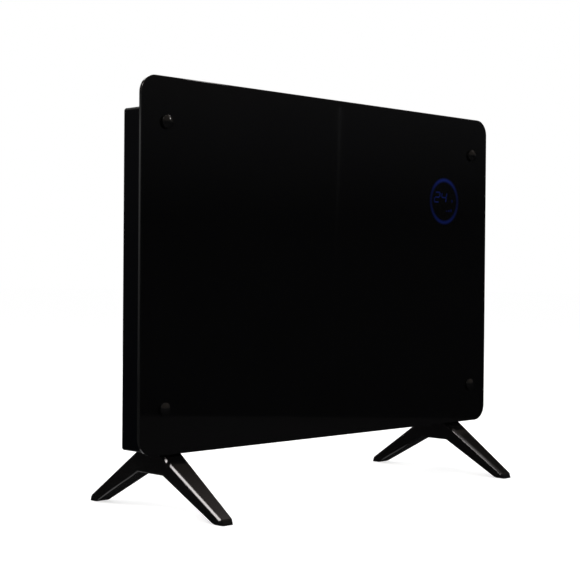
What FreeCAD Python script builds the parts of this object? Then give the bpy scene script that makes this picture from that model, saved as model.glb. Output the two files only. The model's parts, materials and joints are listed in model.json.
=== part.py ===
"""Panel convector heater: a black glass front on a sheet-steel casing, standing on two splayed feet.

Millimetres. +Z is up, -Y is the glass front, and the origin is the middle of the footprint on the floor.
"""
import FreeCAD, Part
import math
import os
import re
import Sketcher

V = FreeCAD.Vector
NEAR = 0.01

SIZES = {
    # Glass front
    "glass_width": 640,
    "glass_height": 430,
    "glass_thick": 5,
    "glass_corner": 21,
    "glass_edge": 1.2,
    "glass_front": 35.5,
    "glass_drop": 1.5,
    "glass_gap": 4,
    # Cap nuts that hold the glass, with their bolts, washers and spacers
    "cap_inset_side": 36.5,
    "cap_inset_end": 52,
    "cap_radius": 8,
    "cap_height": 6,
    "cap_rim": 2,
    "cap_bevel": 3.2,
    "cap_bore_depth": 4.5,
    "cap_washer_thick": 0.8,
    "cap_washer_radius": 7,
    "glass_bolt_radius": 2.5,
    "glass_bolt_length": 20,
    "glass_hole_radius": 3.5,
    "spacer_radius": 7,
    "nut_radius": 4.5,
    "nut_thick": 4,
    "bolt_clearance": 0.05,
    # Casing and rear cover
    "casing_side_inset": 22,
    "casing_top_inset": 32.5,
    "casing_depth": 48.5,
    "casing_wall": 0.8,
    "casing_corner": 4,
    "casing_lip": 14,
    "cover_thick": 0.8,
    "cover_screw_inset": 7,
    "cover_screw_radius": 1.5,
    "cover_screw_length": 8,
    "cover_head_radius": 3.4,
    "cover_head_height": 2,
    "screw_clearance": 0.1,
    "cut_overshoot": 1,
    "wall_hole_spacing": 300,
    "wall_hole_drop": 49,
    "wall_hole_radius": 2.6,
    "vent_width": 4,
    "vent_height": 28,
    "vent_step": 12,
    "vent_inset": 48,
    "vent_bay_gap": 30,
    "vent_drop": 134,
    "vent_row_step": 38,
    "vent_rows": 2,
    # Air grilles in the top and bottom walls
    "grille_thick": 1,
    "grille_border": 8,
    "grille_depth": 34,
    "grille_middle": 2,
    "outlet_inset": 18,
    "outlet_bay_gap": 16,
    "inlet_inset": 70,
    "inlet_bay_gap": 18,
    "louvre_width": 4,
    "louvre_length": 30,
    "louvre_step": 8,
    "louvre_margin": 7,
    # Feet
    "foot_height": 73,
    "foot_inset": 36.2,
    "foot_span": 240.4,
    "foot_top_width": 32.6,
    "foot_tip_width": 18.9,
    "foot_top_length": 37.6,
    "foot_edge": 1.5,
    "foot_bevel": 3,
    "bridge_height": 46,
    "bridge_length": 45.5,
    "bridge_fillet": 4,
    "tip_rise": 6.5,
    "tip_lean": 2.5,
    "tip_round": 2.5,
    "sole_length": 15.3,
    "sole_round": 12,
    "pad_length": 6.5,
    "pad_width": 10,
    "pad_thick": 1.5,
    "pad_proud": 0.5,
    "pad_inset": 2.5,
    "foot_screw_spacing": 18,
    "foot_screw_radius": 2.5,
    "foot_screw_length": 19,
    "foot_head_radius": 4.5,
    "foot_head_height": 4,
    "foot_head_clearance": 0.5,
    "foot_seat_depth": 12,
    "nut_plate_length": 40,
    "nut_plate_width": 30,
    "nut_plate_thick": 3,
    # Heating chamber
    "bay_width": 130,
    "sheet_thick": 0.8,
    "bay_flange": 7,
    "element_side_gap": 43,
    "element_bay_gap": 43,
    "element_y": 4,
    "lower_element_rise": 72,
    "element_step": 60,
    "fin_core_radius": 7,
    "fin_span": 50,
    "fin_thick": 2.5,
    "fin_angle": 35,
    "heater_tube_radius": 4,
    "heater_tube_overhang": 22,
    "heater_pin_radius": 1.5,
    "heater_pin_length": 10,
    "element_clearance": 0.1,
    "bracket_gap": 13,
    "bracket_reach": 34,
    "bracket_margin": 33,
    "bracket_flange": 9,
    "bush_radius": 8,
    "bush_flange_radius": 11,
    "bush_flange_thick": 3,
    "bush_tail": 2,
    "shield_inset": 18,
    "shield_bay_gap": 13,
    "shield_rise": 22,
    "shield_height": 205,
    "shield_standoff": 6,
    # Overheat thermostat, thermal fuse and room sensor
    "thermostat_rise": 207,
    "thermostat_radius": 8,
    "thermostat_depth": 7,
    "thermostat_tail_radius": 7,
    "thermostat_tail": 8,
    "thermostat_flange_width": 26,
    "thermostat_flange_height": 12,
    "thermostat_flange_thick": 1.2,
    "spade_width": 6.3,
    "spade_thick": 0.8,
    "spade_length": 8,
    "spade_spacing": 7,
    "fuse_rise": 152,
    "fuse_y": 12,
    "fuse_radius": 2.2,
    "fuse_length": 12,
    "fuse_tab": 6,
    "sensor_offset": 37,
    "sensor_y": 18,
    "sensor_radius": 2.5,
    "sensor_length": 18,
    "sensor_tab": 10,
    # Display behind the glass
    "display_inset": 97.1,
    "display_window_radius": 41,
    "housing_radius": 40,
    "housing_wall": 2,
    "housing_depth": 22.5,
    "housing_flange_radius": 44,
    "housing_flange_thick": 2,
    "housing_ledge": 3,
    "ring_diameter": 60,
    "ring_width": 3.4,
    "ring_depth": 4.5,
    "board_thick": 1.6,
    "digits_width": 31,
    "digits_height": 14,
    "digits_left": 24,
    "digits_rise": 4,
    # Power board
    "board_offset": 17,
    "board_width": 90,
    "board_rise": 117,
    "board_height": 130,
    "board_inset": 6,
    "standoff_radius": 3,
    "standoff_height": 10,
    "relay_width": 19,
    "relay_height": 15.5,
    "relay_depth": 15,
    "relay_step": 26,
    "relay_left": 8,
    "relay_bottom": 40,
    "transformer_width": 30,
    "transformer_height": 26,
    "transformer_depth": 22,
    "transformer_left": 52,
    "transformer_bottom": 62,
    "capacitor_radius": 8,
    "capacitor_length": 25,
    "capacitor_left": 70,
    "capacitor_bottom": 35,
    "strip_left": 12,
    "strip_bottom": 12,
    "strip_width": 60,
    "strip_height": 12,
    "strip_depth": 13,
    "strip_first_pole": 7.5,
    "strip_pole_step": 15,
    "plug_width": 20,
    "plug_height": 8,
    "plug_depth": 6,
    "cable_width": 14,
    "cable_length": 22.1,
    "cable_thick": 0.8,
    # Terminal block, earth stud and leads
    "terminal_offset": 22,
    "terminal_width": 42,
    "terminal_front": 8,
    "terminal_depth": 18,
    "terminal_height": 16,
    "terminal_bore": 1.8,
    "terminal_pole_step": 10.5,
    "earth_offset": 10,
    "earth_y": 12,
    "earth_radius": 2,
    "earth_height": 14,
    "earth_nut_radius": 4,
    "earth_nut_thick": 3.2,
    "lead_radius": 1.2,
    "lead_bend": 4,
    "supply_lead_rise": 16,
    "lead_turn_gap": 5,
    "lead_hole_rise": 102,
    "lead_spacing": 6,
    "grommet_half_height": 9,
    "grommet_half_width": 5,
    "grommet_lip": 1.6,
    "grommet_wall": 2.5,
    # Tip-over switch
    "tip_y": 2,
    "tip_switch_rise": 75,
    "tip_plate_width": 24,
    "tip_plate_height": 26,
    "tip_plate_thick": 2,
    "tip_pin_radius": 1.5,
    "tip_pin_length": 19,
    "tip_pin_head": 3,
    "tip_pin_head_thick": 1.5,
    "tip_hub_radius": 4,
    "tip_hub_length": 12,
    "tip_hub_gap": 3,
    "tip_arm_radius": 1.8,
    "tip_arm_length": 25,
    "tip_bob_radius": 7,
    "running_clearance": 0.05,
    # Mains rocker switch and cord gland on the rear cover
    "rocker_inset": 63,
    "rocker_rise": 39,
    "rocker_tilt": 10,
    "rocker_width": 17.2,
    "rocker_length": 21,
    "rocker_end": 6,
    "rocker_valley": 4,
    "rocker_skirt": 1.5,
    "rocker_heel": 3,
    "rocker_heel_length": 8,
    "rocker_pin_radius": 1.5,
    "rocker_pin_length": 1.2,
    "rocker_gap": 0.4,
    "rocker_end_gap": 1.9,
    "bezel_wall": 1.8,
    "bezel_rim": 2.6,
    "bezel_thick": 2,
    "switch_depth": 20,
    "switch_floor": 10,
    "gland_inset": 26,
    "gland_rise": 31,
    "gland_radius": 6.5,
    "gland_bore": 4.2,
    "gland_flange_radius": 9.5,
    "gland_flange_thick": 4,
    "gland_neck": 9,
    "gland_nut_radius": 10,
    "gland_nut_thick": 5,
}

# Places that follow from the sizes, written as expressions
GLASS_BACK = "(glass_thick - glass_front)"
CASE_FRONT = "(glass_thick - glass_front + glass_gap)"
CASE_INSIDE = "(glass_thick - glass_front + glass_gap + casing_wall)"
CASE_REAR = "(glass_thick - glass_front + glass_gap + casing_depth)"
COVER_REAR = "(glass_thick - glass_front + glass_gap + casing_depth + cover_thick)"
CASE_FLOOR = "(foot_height + casing_wall)"
CASE_TOP = "(foot_height - glass_drop + glass_height - casing_top_inset)"
CASE_ROOF = f"({CASE_TOP} - casing_wall)"
CASE_SIDE = "(glass_width / 2 - casing_side_inset)"
GLASS_BOTTOM = "(foot_height - glass_drop)"
GLASS_TOP = "(foot_height - glass_drop + glass_height)"
CAP_X = "(glass_width / 2 - cap_inset_side)"
CAP_LOW = "(foot_height - glass_drop + cap_inset_end)"
CAP_HIGH = "(foot_height - glass_drop + glass_height - cap_inset_end)"
CAP_BASE = "(-glass_front - cap_washer_thick)"
ELEMENT_Y = "(-element_y)"
ELEMENT_LEFT = "(element_right - element_length)"
ELEMENT_HEIGHTS = {"lower": "lower_element_z", "upper": "upper_element_z"}
TUBE_LEFT = "(element_right - element_length - heater_tube_overhang)"
TUBE_RIGHT = "(element_right + heater_tube_overhang)"
BRACKET_LEFT = "(element_right - element_length - bracket_gap)"
BRACKET_RIGHT = "(element_right + bracket_gap)"
BAY_FACE = "(bay_wall_x + sheet_thick)"
BOARD_FRONT = f"({CASE_INSIDE} + standoff_height)"
BOARD_REAR = f"({CASE_INSIDE} + standoff_height + board_thick)"
DISPLAY_BOARD_FRONT = f"({GLASS_BACK} + ring_depth)"
DISPLAY_BOARD_REAR = f"({GLASS_BACK} + ring_depth + board_thick)"
SWITCH_HALF_X = "(rocker_width / 2 + rocker_gap + bezel_wall)"
SWITCH_HALF_Z = "(rocker_length / 2 + rocker_end_gap + bezel_wall)"
TIP_Y = "(-tip_y)"
THROUGH_CASING = "casing_wall + 2 * cut_overshoot"
THROUGH_SHEET = "sheet_thick + 2 * cut_overshoot"

# Places and counts that keep the pieces together when the glass or the feet change
PLACES = {
    "foot_spacing": f"(2 * ({CASE_SIDE} - foot_inset))",
    "foot_seat": "(foot_height - foot_seat_depth)",
    "flank_lean": "((foot_top_width - foot_tip_width) / (2 * foot_height))",
    "wall_hole_height": f"({CASE_TOP} - wall_hole_drop)",
    "display_x": "(glass_width / 2 - display_inset)",
    "display_z": "(board_bottom + board_height + cable_length + housing_radius)",
    "bay_wall_x": f"({CASE_SIDE} - bay_width)",
    "vent_left": f"({CASE_SIDE} - vent_inset)",
    "vent_bottom": f"({CASE_TOP} - vent_drop)",
    "vent_count": "floor((vent_left + bay_wall_x - vent_bay_gap) / vent_step)",
    "outlet_left": f"({CASE_SIDE} - outlet_inset)",
    "outlet_right": "(bay_wall_x - outlet_bay_gap)",
    "outlet_count": "floor((outlet_left + outlet_right - 2 * louvre_margin) / louvre_step)",
    "inlet_left": f"({CASE_SIDE} - inlet_inset)",
    "inlet_right": "(bay_wall_x - inlet_bay_gap)",
    "inlet_count": "floor((inlet_left + inlet_right - 2 * louvre_margin) / louvre_step)",
    "element_right": "(bay_wall_x - element_bay_gap)",
    "element_length": f"(element_right + {CASE_SIDE} - element_side_gap)",
    "lower_element_z": "(foot_height + lower_element_rise)",
    "upper_element_z": "(lower_element_z + element_step)",
    "bracket_bottom": "(lower_element_z - bracket_margin)",
    "bracket_top": "(upper_element_z + bracket_margin)",
    "shield_left": f"({CASE_SIDE} - shield_inset)",
    "shield_right": "(bay_wall_x - shield_bay_gap)",
    "shield_bottom": "(foot_height + shield_rise)",
    "shield_top": "(shield_bottom + shield_height)",
    "thermostat_z": "(foot_height + thermostat_rise)",
    "fuse_z": "(foot_height + fuse_rise)",
    "sensor_x": "(bay_wall_x + sensor_offset)",
    "board_left": "(bay_wall_x + board_offset)",
    "board_bottom": "(foot_height + board_rise)",
    "terminal_left": "(bay_wall_x + terminal_offset)",
    "earth_x": "(bay_wall_x + earth_offset)",
    "lead_turn_x": "(bay_wall_x - lead_turn_gap)",
    "lead_hole_z": "(foot_height + lead_hole_rise)",
    "tip_z": "(foot_height + tip_switch_rise)",
    "rocker_x": f"({CASE_SIDE} - rocker_inset)",
    "rocker_z": "(foot_height + rocker_rise)",
    "gland_x": f"({CASE_SIDE} - gland_inset)",
    "gland_z": "(foot_height + gland_rise)",
}

CORNERS = [(side, end) for side in (-1, 1) for end in (-1, 1)]
SIDES = {"left": "-1", "right": "1"}

doc = FreeCAD.newDocument("panel_convector_heater")
sheet = doc.addObject("Spreadsheet::Sheet", "Sizes")
for row, (alias, value) in enumerate(SIZES.items(), 1):
    sheet.set(f"A{row}", alias)
    sheet.set(f"B{row}", str(value))
    sheet.setAlias(f"B{row}", alias)
doc.recompute()

nodes = []


NAME = re.compile(r"[a-z]\w*")


def spelled_out(text):
    """Writes every place in an expression as the sizes that it follows from."""
    return NAME.sub(lambda m: spelled_out(PLACES[m.group()]) if m.group() in PLACES else m.group(), text)


def tied(text):
    """Points every size name in an expression at the sheet."""
    return NAME.sub(lambda m: "Sizes." + m.group() if m.group() in SIZES else m.group(), spelled_out(text))


def num(text):
    """Gives the present value of an expression of sizes."""
    return float(sheet.evalExpression(spelled_out(text)))


def node(label, item):
    """Names an object as one of the heater's pieces."""
    item.Label = label
    nodes.append(item)
    return item


def bind(item, **texts):
    for name, text in texts.items():
        item.setExpression(name.replace("__", "."), tied(text))


def place(item, x="0", y="0", z="0"):
    bind(item, Placement__Base__x=x, Placement__Base__y=y, Placement__Base__z=z)


def block(name, x, y, z):
    """A box between two expressions on each axis."""
    item = doc.addObject("Part::Box", name)
    bind(item, Length=f"({x[1]}) - ({x[0]})", Width=f"({y[1]}) - ({y[0]})", Height=f"({z[1]}) - ({z[0]})")
    place(item, x[0], y[0], z[0])
    return item


TURNS = {
    "x": FreeCAD.Rotation(V(0, 1, 0), 90),
    "y": FreeCAD.Rotation(V(1, 0, 0), -90),
    "z": FreeCAD.Rotation(),
}


def rod(name, axis, start, length, radius):
    """A cylinder from a start point along +X, +Y or +Z."""
    item = doc.addObject("Part::Cylinder", name)
    item.Placement = FreeCAD.Placement(V(), TURNS[axis])
    bind(item, Radius=radius, Height=length)
    place(item, *start)
    return item


def nut(name, axis, start, length, radius):
    """A hexagonal prism from a start point along +X, +Y or +Z."""
    item = doc.addObject("Part::Prism", name)
    item.Polygon = 6
    item.Placement = FreeCAD.Placement(V(), TURNS[axis])
    bind(item, Circumradius=radius, Height=length)
    place(item, *start)
    return item


def join(name, items):
    fused = doc.addObject("Part::MultiFuse", name)
    fused.Shapes = items
    return fused


def cut(name, base, tools):
    item = doc.addObject("Part::Cut", name)
    item.Base = base
    item.Tool = tools[0] if len(tools) == 1 else join(name + "_tools", tools)
    return item


def group(name, items):
    item = doc.addObject("Part::Compound", name)
    item.Links = items
    return item


def plane(body, role):
    return next(f for f in body.Origin.OriginFeatures if f.Role == role)


def new_sketch(body, role, name):
    sketch = body.newObject("Sketcher::SketchObject", name)
    sketch.AttachmentSupport = (plane(body, role), [""])
    sketch.MapMode = "FlatFace"
    return sketch


def pin_point(sketch, geometry, point, x, y):
    """Ties a sketch point to two expressions, measured from the sketch's origin."""
    for kind, text in (("DistanceX", x), ("DistanceY", y)):
        index = sketch.addConstraint(Sketcher.Constraint(kind, -1, 1, geometry, point, num(text)))
        sketch.setExpression(f"Constraints[{index}]", tied(text))


def polygon(sketch, points):
    """Draws a closed outline through points that are pairs of expressions."""
    corners = [V(num(x), num(y), 0) for x, y in points]
    first = len(sketch.Geometry)
    count = len(corners)
    for i in range(count):
        sketch.addGeometry(Part.LineSegment(corners[i], corners[(i + 1) % count]), False)
    for i in range(count):
        sketch.addConstraint(Sketcher.Constraint("Coincident", first + i, 2, first + (i + 1) % count, 1))
    for i, (x, y) in enumerate(points):
        pin_point(sketch, first + i, 1, x, y)


def rectangle(sketch, x, y):
    polygon(sketch, [(x[0], y[0]), (x[1], y[0]), (x[1], y[1]), (x[0], y[1])])


def circle(sketch, x, y, radius):
    index = sketch.addGeometry(Part.Circle(V(num(x), num(y), 0), V(0, 0, 1), num(radius)), False)
    pin_point(sketch, index, 3, x, y)
    size = sketch.addConstraint(Sketcher.Constraint("Radius", index, num(radius)))
    sketch.setExpression(f"Constraints[{size}]", tied(radius))


def pad(body, sketch, length, symmetric=False):
    item = body.newObject("PartDesign::Pad", sketch.Name + "_pad")
    item.Profile = sketch
    bind(item, Length=length)
    if symmetric:
        item.SideType = "Symmetric"
    doc.recompute()
    return item


def pocket(body, sketch):
    """Cuts a sketch right through the plate that starts on the sketch's own plane."""
    before = body.Shape.Volume
    item = body.newObject("PartDesign::Pocket", sketch.Name + "_cut")
    item.Profile = sketch
    item.Type = "ThroughAll"
    item.Reversed = True
    doc.recompute()
    if body.Shape.Volume >= before:
        raise ValueError(f"{item.Name} cuts nothing")
    return item


def pattern(body, feature, sketch, step, count):
    item = body.newObject("PartDesign::LinearPattern", feature.Name + "_row")
    item.Originals = [feature]
    item.Direction = (sketch, ["H_Axis"])
    item.Mode = "Spacing"
    bind(item, Offset=step, Occurrences=count)
    body.Tip = item
    doc.recompute()
    return item


def edge_names(shape, wanted):
    """Names the edges of a shape that pass a test."""
    return [f"Edge{i}" for i, edge in enumerate(shape.Edges, 1) if wanted(edge)]


def round_edges(body, name, radius, wanted):
    base = body.Tip
    item = body.newObject("PartDesign::Fillet", name)
    item.Base = (base, edge_names(base.Shape, wanted))
    bind(item, Radius=radius)
    doc.recompute()
    return item


def bevel_edges(body, name, size, wanted):
    base = body.Tip
    item = body.newObject("PartDesign::Chamfer", name)
    item.Base = (base, edge_names(base.Shape, wanted))
    bind(item, Size=size)
    doc.recompute()
    return item


def along(edge, axis):
    """True for a straight edge that runs along an axis."""
    if edge.Curve.TypeId != "Part::GeomLine":
        return False
    return edge.tangentAt(edge.FirstParameter).cross(axis).Length < NEAR


def pipe(points, radius, bend):
    """A round lead along straight runs joined by tangent arcs of one bend radius."""
    edges = []
    start = points[0]
    for before, corner, after in zip(points, points[1:], points[2:]):
        back = (before - corner).normalize()
        on = (after - corner).normalize()
        half = back.getAngle(on) / 2
        trim = bend / math.tan(half)
        inward = (back + on).normalize()
        centre = corner + inward * (bend / math.sin(half))
        arc = Part.Arc(corner + back * trim, centre - inward * bend, corner + on * trim)
        edges += [Part.LineSegment(start, corner + back * trim).toShape(), arc.toShape()]
        start = corner + on * trim
    edges.append(Part.LineSegment(start, points[-1]).toShape())
    path = Part.Wire(edges)
    section = Part.Wire(Part.makeCircle(radius, points[0], points[1] - points[0]))
    return path.makePipeShell([section], True, False)


def front_glass():
    body = doc.addObject("PartDesign::Body", "front_glass")
    outline = new_sketch(body, "XZ_Plane", "glass_outline")
    rectangle(outline, ("-glass_width / 2", "glass_width / 2"), (GLASS_BOTTOM, GLASS_TOP))
    pad(body, outline, "glass_thick")
    round_edges(body, "glass_corners", "glass_corner", lambda e: along(e, V(0, 1, 0)))
    faces = (0, -num("glass_thick"))
    round_edges(body, "glass_polish", "glass_edge",
                lambda e: any(abs(e.BoundBox.YMin - y) + abs(e.BoundBox.YMax - y) < NEAR for y in faces))
    holes = new_sketch(body, "XZ_Plane", "glass_holes")
    for side, end in CORNERS:
        circle(holes, f"{side} * {CAP_X}", CAP_LOW if end < 0 else CAP_HIGH, "glass_hole_radius")
    pocket(body, holes)
    place(body, y=GLASS_BACK)
    node("front_glass", body)


def cap_nut(side, end):
    """A turned cap nut: a straight rim, a bevel and a flat face, with a blind bore for its bolt."""
    body = doc.addObject("PartDesign::Body", "cap_nut")
    outline = new_sketch(body, "XY_Plane", body.Name + "_section")
    bore = "glass_bolt_radius + bolt_clearance"
    polygon(outline, [
        (bore, "0"), ("cap_radius", "0"), ("cap_radius", "-cap_rim"),
        ("cap_radius - cap_bevel", "-cap_height"), ("0", "-cap_height"),
        ("0", "-cap_bore_depth"), (bore, "-cap_bore_depth"),
    ])
    turned = body.newObject("PartDesign::Revolution", body.Name + "_turned")
    turned.Profile = outline
    turned.ReferenceAxis = (outline, ["V_Axis"])
    turned.Angle = 360
    place(body, f"{side} * {CAP_X}", CAP_BASE, CAP_LOW if end < 0 else CAP_HIGH)
    return body


def ring_piece(name, x, z, start, length, outer, inner):
    solid = rod(name + "_body", "y", (x, start, z), length, outer)
    bore = rod(name + "_bore", "y", (x, start, z), length, inner)
    return cut(name, solid, [bore])


def glass_fasteners():
    caps, washers, bolts, spacers, nuts = [], [], [], [], []
    bore = "glass_bolt_radius + bolt_clearance"
    for side, end in CORNERS:
        x, z = f"{side} * {CAP_X}", CAP_LOW if end < 0 else CAP_HIGH
        caps.append(cap_nut(side, end))
        washers.append(ring_piece("cap_washer", x, z, CAP_BASE, "cap_washer_thick",
                                  "cap_washer_radius", bore))
        bolts.append(rod("glass_bolt", "y", (x, f"{CAP_BASE} - cap_bore_depth + screw_clearance", z),
                         "glass_bolt_length", "glass_bolt_radius"))
        spacers.append(ring_piece("glass_spacer", x, z, GLASS_BACK, "glass_gap", "spacer_radius", bore))
        hexagon = nut("glass_nut_body", "y", (x, CASE_INSIDE, z), "nut_thick", "nut_radius")
        thread = rod("glass_nut_bore", "y", (x, CASE_INSIDE, z), "nut_thick", bore)
        nuts.append(cut("glass_nut", hexagon, [thread]))
    for label, items in (("glass_caps", caps), ("cap_washers", washers), ("glass_bolts", bolts),
                         ("glass_spacers", spacers), ("glass_nuts", nuts)):
        node(label, group(label, items))


COVER_SCREW_X = f"({CASE_SIDE} - cover_screw_inset)"
COVER_SCREW_PLACES = [
    (x, z)
    for x in (f"-{COVER_SCREW_X}", "0", COVER_SCREW_X)
    for z in ("foot_height + cover_screw_inset", f"(foot_height + {CASE_TOP}) / 2",
              f"{CASE_TOP} - cover_screw_inset")
    if not (x == "0" and "/ 2" in z)
]


def foot_screw_places(side):
    x = f"{side} * foot_spacing / 2"
    return [(x, f"{end} * foot_screw_spacing / 2") for end in (-1, 1)]


GRILLE_Y = ("-grille_middle - grille_depth / 2", "grille_depth / 2 - grille_middle")


def casing():
    """Folded steel tray, open at the back inside a lip, with the air openings and every fixing hole."""
    outer = block("casing_outer", (f"-{CASE_SIDE}", CASE_SIDE), (CASE_FRONT, CASE_REAR),
                  ("foot_height", CASE_TOP))
    doc.recompute()
    folded = doc.addObject("Part::Fillet", "casing_folds")
    folded.Base = outer
    radius = num("casing_corner")
    folded.Edges = [(i, radius, radius) for i, e in enumerate(outer.Shape.Edges, 1) if along(e, V(0, 1, 0))]
    wall, lip = "casing_wall", "casing_lip"
    tools = [
        block("casing_inside", (f"-{CASE_SIDE} + {wall}", f"{CASE_SIDE} - {wall}"),
              (CASE_INSIDE, f"{CASE_REAR} - {wall}"), (CASE_FLOOR, CASE_ROOF)),
        block("casing_back", (f"-{CASE_SIDE} + {lip}", f"{CASE_SIDE} - {lip}"),
              (CASE_INSIDE, CASE_REAR), (f"foot_height + {lip}", f"{CASE_TOP} - {lip}")),
        block("outlet_opening", ("-outlet_left", "outlet_right"), GRILLE_Y,
              (f"{CASE_ROOF} - cut_overshoot", f"{CASE_TOP} + cut_overshoot")),
        block("inlet_opening", ("-inlet_left", "inlet_right"), GRILLE_Y,
              ("foot_height - cut_overshoot", f"{CASE_FLOOR} + cut_overshoot")),
        rod("display_window", "y", ("display_x", f"{CASE_FRONT} - cut_overshoot", "display_z"),
            THROUGH_CASING, "display_window_radius"),
        rod("sensor_hole", "z", ("sensor_x", "-sensor_y", "foot_height - cut_overshoot"), THROUGH_CASING,
            "sensor_radius + screw_clearance"),
        rod("earth_hole", "z", ("earth_x", "earth_y", "foot_height - cut_overshoot"), THROUGH_CASING,
            "earth_radius + bolt_clearance"),
    ]
    for side, end in CORNERS:
        tools.append(rod("glass_bolt_hole", "y",
                         (f"{side} * {CAP_X}", f"{CASE_FRONT} - cut_overshoot",
                          CAP_LOW if end < 0 else CAP_HIGH),
                         THROUGH_CASING, "glass_bolt_radius + bolt_clearance"))
    for side in SIDES.values():
        tools += [rod("foot_screw_hole", "z", (x, y, "foot_height - cut_overshoot"), THROUGH_CASING,
                      "foot_screw_radius + screw_clearance") for x, y in foot_screw_places(side)]
    for x, z in COVER_SCREW_PLACES:
        tools.append(rod("cover_screw_hole", "y", (x, f"{CASE_REAR} - casing_wall - cut_overshoot", z),
                         THROUGH_CASING, "cover_screw_radius + screw_clearance"))
    node("casing", cut("casing", folded, tools))


def rear_cover():
    body = doc.addObject("PartDesign::Body", "rear_cover")
    outline = new_sketch(body, "XZ_Plane", "cover_outline")
    rectangle(outline, (f"-{CASE_SIDE}", CASE_SIDE), ("foot_height", CASE_TOP))
    pad(body, outline, "cover_thick")
    round_edges(body, "cover_corners", "casing_corner", lambda e: along(e, V(0, 1, 0)))
    holes = new_sketch(body, "XZ_Plane", "cover_holes")
    for x, z in COVER_SCREW_PLACES:
        circle(holes, x, z, "cover_screw_radius + screw_clearance")
    for side in SIDES.values():
        circle(holes, f"{side} * wall_hole_spacing / 2", "wall_hole_height", "wall_hole_radius")
    circle(holes, "gland_x", "gland_z", "gland_radius + screw_clearance")
    gap = "screw_clearance"
    rectangle(holes, (f"rocker_x - {SWITCH_HALF_X} - {gap}", f"rocker_x + {SWITCH_HALF_X} + {gap}"),
              (f"rocker_z - {SWITCH_HALF_Z} - {gap}", f"rocker_z + {SWITCH_HALF_Z} + {gap}"))
    pocket(body, holes)
    vent = new_sketch(body, "XZ_Plane", "cover_vent")
    for i in range(int(num("vent_rows"))):
        bottom = f"vent_bottom + {i} * vent_row_step"
        rectangle(vent, ("-vent_left", "-vent_left + vent_width"), (bottom, f"{bottom} + vent_height"))
    pattern(body, pocket(body, vent), vent, "vent_step", "vent_count")
    place(body, y=COVER_REAR)
    node("rear_cover", body)


def cover_screws():
    screws = []
    for x, z in COVER_SCREW_PLACES:
        shank = rod("cover_screw_shank", "y", (x, f"{COVER_REAR} - cover_screw_length", z),
                    "cover_screw_length + cover_head_height", "cover_screw_radius")
        head = rod("cover_screw_head", "y", (x, COVER_REAR, z), "cover_head_height", "cover_head_radius")
        screws.append(join("cover_screw", [shank, head]))
    node("rear_cover_screws", group("rear_cover_screws", screws))


def grille(label, left, right, height, count):
    """A flat plate with a row of louvre slots, seated on the inner face of the casing's wall."""
    body = doc.addObject("PartDesign::Body", label)
    outline = new_sketch(body, "XY_Plane", label + "_outline")
    rectangle(outline, (f"-{left} - grille_border", f"{right} + grille_border"), GRILLE_Y)
    pad(body, outline, "grille_thick")
    slot = new_sketch(body, "XY_Plane", label + "_slot")
    first = f"({right} - {left}) / 2 - ({count} - 1) * louvre_step / 2"
    rectangle(slot, (f"{first} - louvre_width / 2", f"{first} + louvre_width / 2"),
              ("-grille_middle - louvre_length / 2", "louvre_length / 2 - grille_middle"))
    slots = body.newObject("PartDesign::Pocket", label + "_louvre")
    slots.Profile = slot
    slots.Type = "ThroughAll"
    slots.SideType = "Symmetric"
    doc.recompute()
    pattern(body, slots, slot, "louvre_step", count)
    place(body, z=height)
    node(label, body)


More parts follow.
